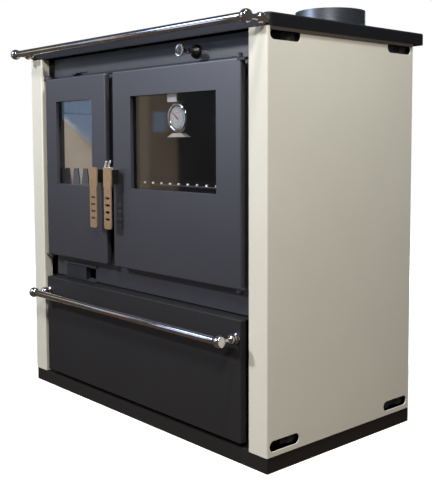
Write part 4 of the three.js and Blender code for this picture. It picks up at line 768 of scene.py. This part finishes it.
def make_world():
    """Light by direction; the rays that see the background find white."""
    sky = bpy.data.worlds.new("studio")
    bpy.context.scene.world = sky
    sky.use_nodes = True
    tree = sky.node_tree
    tree.nodes.clear()
    way = add(tree, "ShaderNodeTexCoord").outputs["Generated"]
    shade = by_direction(tree, add(tree, "ShaderNodeSeparateXYZ", {"Vector": way}).outputs["Z"], SKY_LOW)
    light = add(tree, "ShaderNodeBackground", {"Color": shade, "Strength": SKY_STRENGTH}).outputs[0]
    white = add(tree, "ShaderNodeBackground", {"Color": (1, 1, 1, 1), "Strength": 1.0}).outputs[0]
    mixed = add(tree, "ShaderNodeMixShader", {0: background_rays(tree), 1: light, 2: white}).outputs[0]
    add(tree, "ShaderNodeOutputWorld", {"Surface": mixed})


make_floor()
make_world()
make_room()

# Soft square lamps: place, aim, size, watts and colour.
LAMPS = {
    "key": ((-1.07, -2.31, 1.69), (-0.05, -0.21, 0.55), 0.2, 50.0, "F6F8FF"),
    "ceiling": ((0.74, -0.36, 2.3), (0.5, -0.1, 0.5), 0.2, 50.0, "F8F9F8"),
    "camera_side": ((1.6, -1.64, 2.1), (-0.1, -0.2, 0.5), 0.4, 45.0, "F7F1E8"),
    "rear_fill": ((-0.9, 2.3, 1.5), (0.0, 0.25, 0.5), 1.0, 34.0, "EEF1F6"),
}
for name, (spot, aim, size, energy, shade) in LAMPS.items():
    light = bpy.data.lights.new(name, "AREA")
    light.shape = "SQUARE"
    light.size = size
    light.energy = energy
    light.color = colour(shade)[:3]
    obj = bpy.data.objects.new(name, light)
    bpy.context.scene.collection.objects.link(obj)
    turn = (Vector(aim) - Vector(spot)).to_track_quat("-Z", "Y").to_matrix().to_4x4()
    obj.matrix_world = Matrix.Translation(Vector(spot)) @ turn

# Glowing cards before the stove, for the windows and walls that its glass, paint and chrome mirror.
CARD_Y = -1.5


def upright(x0, x1, z0, z1):
    """The corners of an upright card as (x, z)."""
    return [(x0, z0), (x1, z0), (x1, z1), (x0, z1)]


CARDS = {
    "pale_wall_left": (upright(-4.3, -2.7, 0.9, 1.6), CARD_Y, "CDBFB5", 1.3),
    "window_light_in_fire_glass": ([(-2.62, 0.829), (-2.05, 0.547), (-2.05, 0.9), (-2.62, 0.9)], CARD_Y,
                                   "8FB4DC", 1.7),
    "window_light_left": (upright(-2.62, -1.75, 0.9, 1.9), CARD_Y, "A6B6D8", 1.2),
    "window_light_right": (upright(-1.5, -0.45, 1.35, 2.05), CARD_Y, "9DB2E4", 10.5),
    "window_light_low": (upright(-1.15, -0.6, 0.3, 0.9), CARD_Y, "A9B9DA", 2.2),
    "brown_wall_in_oven_glass": (upright(-1.99, -1.67, 0.3, 0.89), CARD_Y, "C8B49A", 1.1),
    "dim_wall_in_oven_glass": (upright(-1.67, -1.455, 0.3, 0.89), CARD_Y, "C8AC96", 0.8),
    "blue_picture_in_oven_glass": ([(-1.634, 0.667), (-1.535, 0.666), (-1.535, 0.759), (-1.634, 0.761)],
                                   CARD_Y + 0.001, "93A0B2", 1.9),
}
for name, (outline, y, shade, strength) in CARDS.items():
    finish, tree = stage_material(name)
    emit = add(tree, "ShaderNodeEmission", {"Color": colour(shade), "Strength": strength}).outputs[0]
    add(tree, "ShaderNodeOutputMaterial", {"Surface": emit})
    for_reflections(stage_object(name, [(x, y, z) for x, z in outline], [(0, 1, 2, 3)], finish))

bpy.context.scene.view_settings.view_transform = "Standard"
